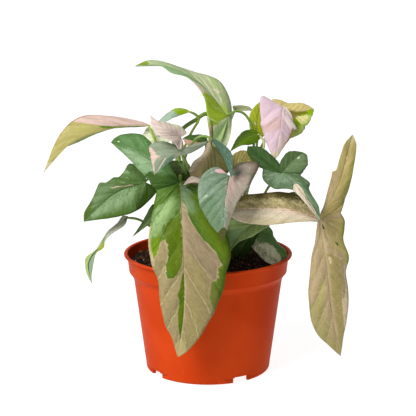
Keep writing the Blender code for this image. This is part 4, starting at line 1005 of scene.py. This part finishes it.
grow("leaf_dark_right", [dark_right_main, dark_right_lobe, dark_right_back_lobe],
     rib=[(63, -62, 193), (78, -74, 182), (95, -86, 157)],
     left=[(77.5, -66, 193), (86.5, -70, 186.5), (85.5, -74, 182), (88.5, -79, 177), (93.5, -83, 169)],
     right=[(47, -64, 188), (56, -68, 181), (72, -76, 181), (87, -84, 166)],
     notches=[(79, -62, 191), (47, -58, 196)],
     lobes=[dict(rib=[(71, -58, 201), (81, -54, 210)], inner=[(62, -56, 202), (70, -52, 210)],
                 outer=[(85, -58, 199), (85, -56, 207)]),
            dict(rib=[(47, -54, 203), (34, -48, 214)], inner=[(60, -56, 202), (46, -50, 213)],
                 outer=[(41, -54, 199), (34, -50, 208)])],
     stalk=("stem_right", 130, [(46, -30, 162), (54, -40, 178)]), ripple=.02)


# The long tan leaf at the right hangs over the rim. Its midrib is pink, one lobe stands up, and the
# other reaches left with a cream and pink lower half. It grows low on the right stem.
right_main = leaf_skins("right", (168, 148, 114), [
    patch((166, 150, 100), [(.10, .25, 1.25), (.20, .22, 1.25), (.33, .25, 1.25), (.40, .3, 1.2)],
          ragged=.12, soft=.05, rim=(180, 162, 124)),
    patch((148, 136, 84), [(.44, .05, .7), (.55, .1, .7), (.66, .06, .62)], ragged=.15, soft=.12,
          share=.8),
    patch((150, 138, 82), [(.66, .1, .9), (.85, .3, 1.25), (.97, .2, 1.25)], soft=.2, share=.7),
    patch((150, 154, 72), [(.14, .86, 1.25), (.36, .84, 1.25), (.45, .88, 1.25)], soft=.05, share=.8),
    patch((196, 176, 146), [(.44, .93, 1.25), (.50, .86, 1.25), (.62, .84, 1.25), (.66, .62, 1.25),
          (.73, .70, 1.25), (.82, .88, 1.25)], ragged=.08),
    patch((164, 162, 88), [(.56, -.40, -.22), (.62, -.48, -.28), (.70, -.62, -.42)], ragged=.15, soft=.1,
          share=.7),
    patch((150, 142, 90), [(.62, -1.25, -.4), (.8, -1.25, -.3), (.97, -1.25, -.1)], soft=.3, share=.7),
    patch((206, 186, 158), [(.455, .12, .24), (.49, .14, .26)], ragged=.1),
    patch((196, 180, 140), [(.235, .40, .50), (.26, .42, .52)], ragged=.15),
    patch((192, 176, 130), [(.30, .66, .74), (.33, .68, .76)], ragged=.15),
    patch((30, 66, 28), [(.295, .07, .15), (.32, .10, .18)], ragged=.05),
    patch((44, 82, 30), [(.35, .54, .66), (.37, .54, .68)], ragged=.1),
    patch((26, 24, 18), [(.712, -.04, .01), (.722, -.04, .01)], ragged=0)],
    rib=(186, 154, 136), vein=(178, 158, 122), veins=9, line=.4, fleck=(172, 156, 120), seed=16.0,
    grain_shade_and_sheen=.35)
right_upper_lobe = leaf_skins("right_upper_lobe", (166, 150, 98), [
    patch((160, 138, 106), [(.28, .15, 1.1), (.5, .1, 1.0), (.68, .2, .9)], ragged=.15, soft=.15,
          share=.7),
    patch((142, 140, 70), [(.3, -1.25, -.7), (.6, -1.25, -.6), (.85, -1.25, -.7)], soft=.15, share=.8),
    patch((210, 194, 158), [(.80, -.05, .12), (.82, -.02, .14)], ragged=.1),
    patch((206, 190, 150), [(.735, 0, .12), (.75, .04, .16)], ragged=.1),
    patch((168, 160, 110), band(.93, 1), soft=.2)],
    rib=(170, 158, 100), vein=(124, 116, 66), veins=6, seed=17.0, grain_shade_and_sheen=.35)
right_left_lobe = leaf_skins("right_left_lobe", (218, 202, 180), [
    patch((176, 160, 122), [(.10, -1.25, -.06), (.55, -1.25, -.06), (.9, -1.25, -.04), (1, -1.25, 0)],
          ragged=.06, rim=(216, 184, 158), line=(104, 88, 48)),
    patch((104, 92, 46), [(.15, -1.25, -.62), (.4, -1.25, -.68), (.7, -1.25, -.6), (.95, -1.25, -.7)],
          ragged=.4, soft=.1, share=.85),
    patch((212, 196, 146), [(.30, -.55, -.36), (.5, -.52, -.30), (.7, -.62, -.40), (.9, -.55, -.3)],
          ragged=.7, soft=.08, share=.8),
    patch((126, 108, 66), [(.25, -.30, -.14), (.5, -.28, -.14), (.75, -.34, -.18), (.92, -.3, -.1)],
          ragged=.6, soft=.08, share=.6),
    patch((226, 198, 180), [(.2, .05, .5), (.45, .0, .3), (.6, .0, .2)], ragged=.3, soft=.2, share=.7),
    patch((196, 180, 140), [(.25, .6, 1.25), (.5, .7, 1.25), (.8, .5, 1.25)], soft=.2, share=.6)],
    rib=(226, 192, 178), vein=(198, 172, 140), veins=9, line=.4, seed=18.0, grain_shade_and_sheen=.5)
grow("leaf_right", [right_main, right_upper_lobe, right_left_lobe],
     rib=[(96, -58, 152), (102, -66, 116), (108, -70, 69), (116, -68, 31)],
     left=[(118.5, -54, 149), (117, -58, 134), (122, -61, 119), (119.5, -64, 105), (122, -66, 87),
         (121, -67, 68), (118, -68, 50)],
     right=[(92.5, -61, 133), (89.5, -63, 119), (87.3, -66, 96.5), (87.2, -67, 85), (89.6, -68, 66),
         (94.5, -69, 52.5), (105, -69, 41.5)],
     notches=[(115, -52, 156), (94.5, -59, 149.5)],
     lobes=[dict(rib=[(113, -46, 178), (126, -30, 221)], inner=[(101, -48, 164), (107, -42, 184.5),
                 (107.8, -41, 190), (111.5, -40, 192), (115.5, -37, 205), (119, -34, 214)],
                 outer=[(119, -46, 166), (122.5, -43, 176), (127, -39, 197), (129, -34, 212)]),
            dict(rib=[(66, -62, 161), (40, -62, 161.7), (15.5, -62, 161)], inner=[(84, -56, 170),
                 (74.5, -56, 173.5), (62, -55, 175.5), (46.5, -55, 173.5), (31, -56, 173),
                 (20.5, -58, 169)], outer=[(83, -64, 151), (70, -66, 150.5), (49, -67, 148.5),
                 (30, -67, 151), (20.5, -66, 155)])],
     stalk=("stem_right", 124, [(54, -32, 160), (78, -43, 172), (91, -50, 164)]),
     relief=.04, wave=.05, ripple=.012)


# Low in the middle a plain green leaf spreads under the others, with a lobe painted dark as their shade.
# It grows low on the right stem.
under_centre_skins = leaf_skins("under_centre", (150, 174, 112), [
    patch((128, 158, 112), [(.6, -1.25, -.1), (.85, -1.25, 0)], ragged=.25, soft=.25, share=.8)],
    vein=(104, 130, 74), seed=19.0)
# The lobe's dark colour is painted shade from the leaves above it.
shaded_lobe = leaf_skins("shaded_lobe", (44, 66, 24), rib=(90, 112, 62), vein=(84, 108, 60), line=.6,
    back=.0)
grow("leaf_under_centre", [under_centre_skins, shaded_lobe],
     rib=[(49, -48, 149), (33, -56, 143), (18, -68, 125)],
     left=[(55, -50, 146), (40, -60, 138), (26, -66, 133)],
     right=[(38, -46, 154), (17, -56, 147)],
     lobes=[dict(rib=[(37, -36, 133), (24, -34, 112)], inner=[(34, -38, 137), (19, -38, 124)],
                 outer=[(43, -30, 128), (35, -28, 112)])],
     stalk=("stem_right", 118, [(38, -26, 142), (48, -40, 151)]))


# A dark leaf lies against the rim on the right, splashed silver and cream below its midrib. Its
# short stalk leaves the right stem close to the mix.
at_rim_skins = leaf_skins("at_rim", (104, 136, 84), [
    patch((180, 170, 150), [(.10, -1.25, -.15), (.3, -1.25, -.2), (.5, -1.25, -.3), (.7, -1.25, -.5)],
          ragged=.3, soft=.06),
    patch((216, 214, 192), [(.40, -1.0, -.6), (.52, -1.0, -.3), (.66, -1.1, .05), (.8, -1.25, .3),
          (.92, -1.25, .5), (1, -1.25, .6)], ragged=.35, soft=.05),
    patch((104, 120, 92), [(.20, -.6, -.45), (.5, -.8, -.6), (.8, -.7, -.5), (.95, -.6, -.4)], ragged=.5,
          soft=.06, share=.7),
    patch((96, 128, 74), [(.5, .3, 1.1), (.85, .3, 1.1)], ragged=.3, soft=.3, share=.8)],
    rib=(60, 88, 46), vein=(52, 78, 38), veins=7, seed=20.0, grain_shade_and_sheen=.8)
grow("leaf_at_rim", [at_rim_skins],
     rib=[(37, -16, 129), (53, -26, 123), (63, -30, 106)],
     left=[(46.5, -10, 131), (53.5, -9, 133.5), (57, -11, 130), (59.2, -13, 124.5), (63.8, -15, 119.5),
         (68.8, -18, 114.5), (70, -23, 107)],
     right=[(32, -21, 126), (40, -30, 118), (54, -36, 106)],
     stalk=("stem_right", 112, [(30, -13, 126)]), stalk_skin=dark_stalk, wave=.05, ripple=.02)


# A narrow twisted leaf droops at the left, grey and cream above and striped green below. It hangs
# from low on the left stem.
narrow_skins = leaf_skins("narrow", (158, 172, 138), [
    patch((172, 176, 158), [(0, -1.25, 1.25), (.40, -1.25, 1.25), (.50, -1.25, 1.25)], ragged=.1,
          soft=.05),
    patch((60, 64, 52), [(.12, -.3, .05), (.18, -.2, .1)], ragged=.2),
    patch((60, 64, 52), [(.26, -.1, .4), (.31, 0, .45)], ragged=.2),
    patch((196, 164, 150), [(.36, -.7, -.2), (.42, -.6, -.1)], ragged=.3, soft=.06, share=.7),
    patch((146, 152, 44), [(.53, 0, 1.25), (.58, .1, 1.25), (.64, .3, 1.25)], ragged=.1),
    patch((160, 178, 110), [(.66, -1.25, -.3), (.85, -1.25, -.3), (.98, -1.25, -.2)]),
    patch((72, 94, 62), [(.64, -.25, .1), (.8, -.3, .1), (.93, -.2, .1)], ragged=.1),
    patch((136, 152, 124), [(.68, .15, 1.25), (.85, .15, 1.25), (.96, .15, 1.25)], ragged=.1)],
    rib=(120, 138, 92), seed=21.0, grain_shade_and_sheen=.3)
grow("leaf_narrow", [narrow_skins],
     rib=[(-70, -44, 151), (-76.5, -47, 145), (-86, -50, 138), (-90.5, -50, 132), (-93.5, -51, 125.5),
         (-97.7, -52, 121.3), (-103, -52, 113.5), (-104, -52, 105), (-102, -52, 93)],
     left=[(-71, -48, 147), (-74, -49, 142.7), (-84, -52, 137), (-90, -53, 130.7), (-90.5, -53, 126.2),
         (-93.1, -53, 123.2), (-97.2, -53, 120.7), (-99, -54, 115), (-100.6, -54, 107),
         (-101.8, -54, 100)],
     right=[(-74.8, -42, 150.8), (-79, -44, 145), (-87, -48, 139), (-91, -48, 133.2), (-94.1, -49, 128.3),
         (-98.2, -50, 122), (-106.2, -50, 115.7), (-107.2, -50, 109), (-106.6, -50, 103),
         (-104.6, -51, 98)],
     stalk=("stem_left", 118, [(-46, -38, 138), (-60, -44, 148)]))


# A small dark leaf hangs behind the front leaf at the left, mostly in shade. It grows on the left
# stem.
small_low_skins = leaf_skins("small_low", (52, 72, 30), [
    patch((84, 100, 62), [(.3, .3, 1.25), (.8, .2, 1.25)], soft=.3),
    patch((150, 122, 96), band(.95, 1))],
    seed=22.0)
grow("leaf_small_low", [small_low_skins],
     rib=[(-43, -50, 163), (-54, -54, 148), (-66, -54, 135)],
     left=[(-44, -54, 152), (-53, -56, 145)],
     right=[(-49, -50, 162), (-58, -52, 146)],
     stalk=("stem_left", 125, [(-34, -34, 155)]), stalk_skin=dark_stalk)


# Two half hidden leaves fill the middle: a blue green one and an olive brown one, pale pinkish on one side
# of its midrib. Both grow on the front stem.
blue_skins = leaf_skins("blue", (82, 108, 92), rib=(70, 94, 76), vein=(120, 146, 130),
    fleck=(122, 146, 130), seed=23.0)
grow("leaf_blue", [blue_skins],
     rib=[(3, -68, 224), (13, -78, 217), (19.5, -84, 194)],
     left=[(8, -74, 224), (18, -82, 217), (21.2, -84, 206)],
     right=[(7, -68, 217), (13, -76, 209)],
     stalk=("stem_front", 150, [(-19, -50, 192), (-20, -56, 203), (-17, -62, 213), (-12, -65, 221),
         (-8, -66, 225), (-2, -67, 226)]))


tan_skins = leaf_skins("tan", (122, 108, 76), [
    patch((186, 170, 148), [(.25, -1.25, -.1), (.5, -1.25, -.2), (.9, -1.25, -.3)], ragged=.25, soft=.4,
          share=.85),
    # Painted shadow where the blue leaf shades this side.
    patch((84, 84, 46), [(0, -.4, 1.25), (.3, .1, 1.25), (.7, .4, 1.25)], soft=.3, share=.8)],
    seed=24.0)
grow("leaf_tan", [tan_skins],
     rib=[(3, -58, 216), (-4, -64, 204), (-15, -66, 192)],
     left=[(12, -60, 212), (18.5, -64, 203), (16.5, -66, 194), (3, -68, 191)],
     right=[(4.2, -52, 226), (3, -48, 236), (1.4, -53, 224), (-4, -58, 210), (-12, -61, 203),
         (-16, -64, 196)],
     stalk=("stem_front", 153, [(6, -36, 186), (6, -48, 208)]))


# Behind them an olive leaf is speckled yellow brown. It grows on the front stem too and shows only
# between its neighbours.
olive_centre_skins = leaf_skins("olive_centre", (150, 138, 84), fleck=(190, 172, 108),
    vein=(176, 160, 100), seed=25.0)
grow("leaf_olive_centre", [olive_centre_skins],
     rib=[(21, -60, 193), (30, -54, 202), (45, -44, 202)],
     left=[(18, -57, 203), (27, -48, 210), (38, -43, 207)],
     right=[(31, -57, 196), (41, -49, 197)],
     stalk=("stem_front", 138, [(24, -40, 166)]))


# Four small leaves show between the larger ones on the left: pale cream green, dark green with a
# pink lower edge, dark olive, and pale pink. They grow on the left, middle and front stems.
pale_left_skins = leaf_skins("pale_left", (232, 234, 204), [
    patch((84, 108, 50), [(.3, .0, .3), (.6, .1, .4)], ragged=.2, soft=.05)],
    seed=26.0, grain_shade_and_sheen=.3)
grow("leaf_pale_left", [pale_left_skins],
     rib=[(-30, -30, 219), (-43, -32, 223), (-57, -32, 221)],
     left=[(-37, -34, 214), (-50, -34, 215)],
     right=[(-35, -28, 228), (-50, -28, 229)],
     stalk=("stem_left", 151, [(-27, -22, 190)]), stalk_skin=pale_stalk)


dark_edge_skins = leaf_skins("dark_edge", (68, 92, 42), [
    patch((190, 152, 132), [(.05, .45, 1.25), (.5, .4, 1.25), (.95, .3, 1.25)], soft=.06)],
    seed=27.0)
grow("leaf_dark_edge", [dark_edge_skins],
     rib=[(0, -46, 217), (-10, -49, 221), (-22, -50, 221)],
     left=[(-6, -51, 214), (-17, -53, 215)],
     right=[(-3, -42, 222), (-15, -44, 223)],
     stalk=("stem_middle", 150, [(-2, -22, 188)]), stalk_skin=dark_stalk)


# Its dark olive ground is partly the leaf's colour and partly painted shade, and its paler patch is a
# painted sheen.
dark_behind_skins = leaf_skins("dark_behind", (58, 72, 32), [
    patch((92, 114, 70), [(.15, -.6, .2), (.5, -.6, .2)], ragged=.2, soft=.2)],
    seed=28.0)
grow("leaf_dark_behind", [dark_behind_skins],
     rib=[(-14, -47, 193), (-26, -49, 194), (-40, -47, 193)],
     left=[(-15, -51, 185), (-29, -51, 182)],
     right=[(-19, -43, 199), (-33, -43, 200)],
     stalk=("stem_left", 130, [(-15, -34, 168)]), stalk_skin=dark_stalk)


pink_edge_skins = leaf_skins("pink_edge", (216, 194, 182), [
    patch((96, 88, 60), [(0, .7, 1.25), (.9, .7, 1.25)], soft=.06)],
    seed=29.0)
grow("leaf_pink_edge", [pink_edge_skins],
     rib=[(-1, -62, 190), (-11, -66, 189), (-21, -68, 184)],
     left=[(-4, -64, 183), (-14, -68, 185)],
     right=[(-7, -62, 193), (-16, -66, 190)],
     stalk=("stem_front", 123, [(3, -40, 176), (3, -54, 192)]))


# A narrow leaf seen edge on crosses behind the top leaf's stalk, striped pale green and brown. A
# pale stalk from the middle stem bears it.
top_edge_skins = leaf_skins("top_edge", (172, 180, 124), fleck=(176, 152, 112), seed=30.0)
grow("leaf_top_edge", [top_edge_skins],
     rib=[(23, -4, 238), (31, 8, 238), (37, 24, 237)],
     left=[(22, 6, 240), (28, 18, 239)],
     right=[(33, -5, 238), (39, 8, 236)],
     stalk=("stem_middle", 152, [(12, 6, 205)]), stalk_skin=pale_stalk)


# Three leaves arch over the back of the rim, green with cream and pink sectors. All three grow on
# the back stem.
back_left_skins = leaf_skins("back_left", (116, 144, 86), [
    patch((214, 196, 180), [(.40, -1.25, -.5), (.55, -1.25, -.1), (.70, -1.25, -.4), (.9, -1.25, -.6)],
          ragged=.2, rim=(196, 204, 160))],
    vein=(160, 182, 130), seed=31.0)
grow("leaf_back_left", [back_left_skins],
     rib=[(-30, 44, 152), (-42, 72, 134), (-54, 94, 78)],
     left=[(-30, 30, 148), (-42, 36, 136), (-52, 64, 106)],
     right=[(-18, 46, 150), (-10, 64, 142), (-30, 92, 108)],
     stalk=("stem_back", 134, [(-16, 36, 152)]))


back_middle_skins = leaf_skins("back_middle", (126, 150, 98), [
    patch((168, 150, 112), [(.50, 0, .6), (.62, 0, 1.25), (1, 0, 1.25)], ragged=.15, rim=(198, 178, 142)),
    patch((150, 176, 134), [(.3, -.8, -.1), (.6, -.8, -.1)], ragged=.3, soft=.3, share=.7)],
    vein=(164, 184, 134), seed=32.0)
grow("leaf_back_middle", [back_middle_skins],
     rib=[(2, 58, 158), (4, 82, 136), (6, 100, 70)],
     left=[(-8, 50, 154), (-14, 78, 140), (-10, 98, 104)],
     right=[(12, 50, 154), (20, 78, 142), (20, 98, 106)],
     stalk=("stem_back", 140, [(2, 44, 158)]), stalk_skin=tan_stalk)


back_right_skins = leaf_skins("back_right", (94, 120, 66), [
    patch((206, 198, 170), [(.30, .5, 1.25), (.45, .3, 1.25), (.6, .6, 1.25)], ragged=.25)],
    vein=(142, 162, 112), seed=33.0)
grow("leaf_back_right", [back_right_skins],
     rib=[(32, 40, 148), (44, 68, 132), (50, 92, 80)],
     left=[(22, 44, 146), (24, 66, 138), (34, 92, 108)],
     right=[(36, 28, 144), (50, 40, 134), (60, 68, 108)],
     stalk=("stem_back", 128, [(18, 34, 148)]))
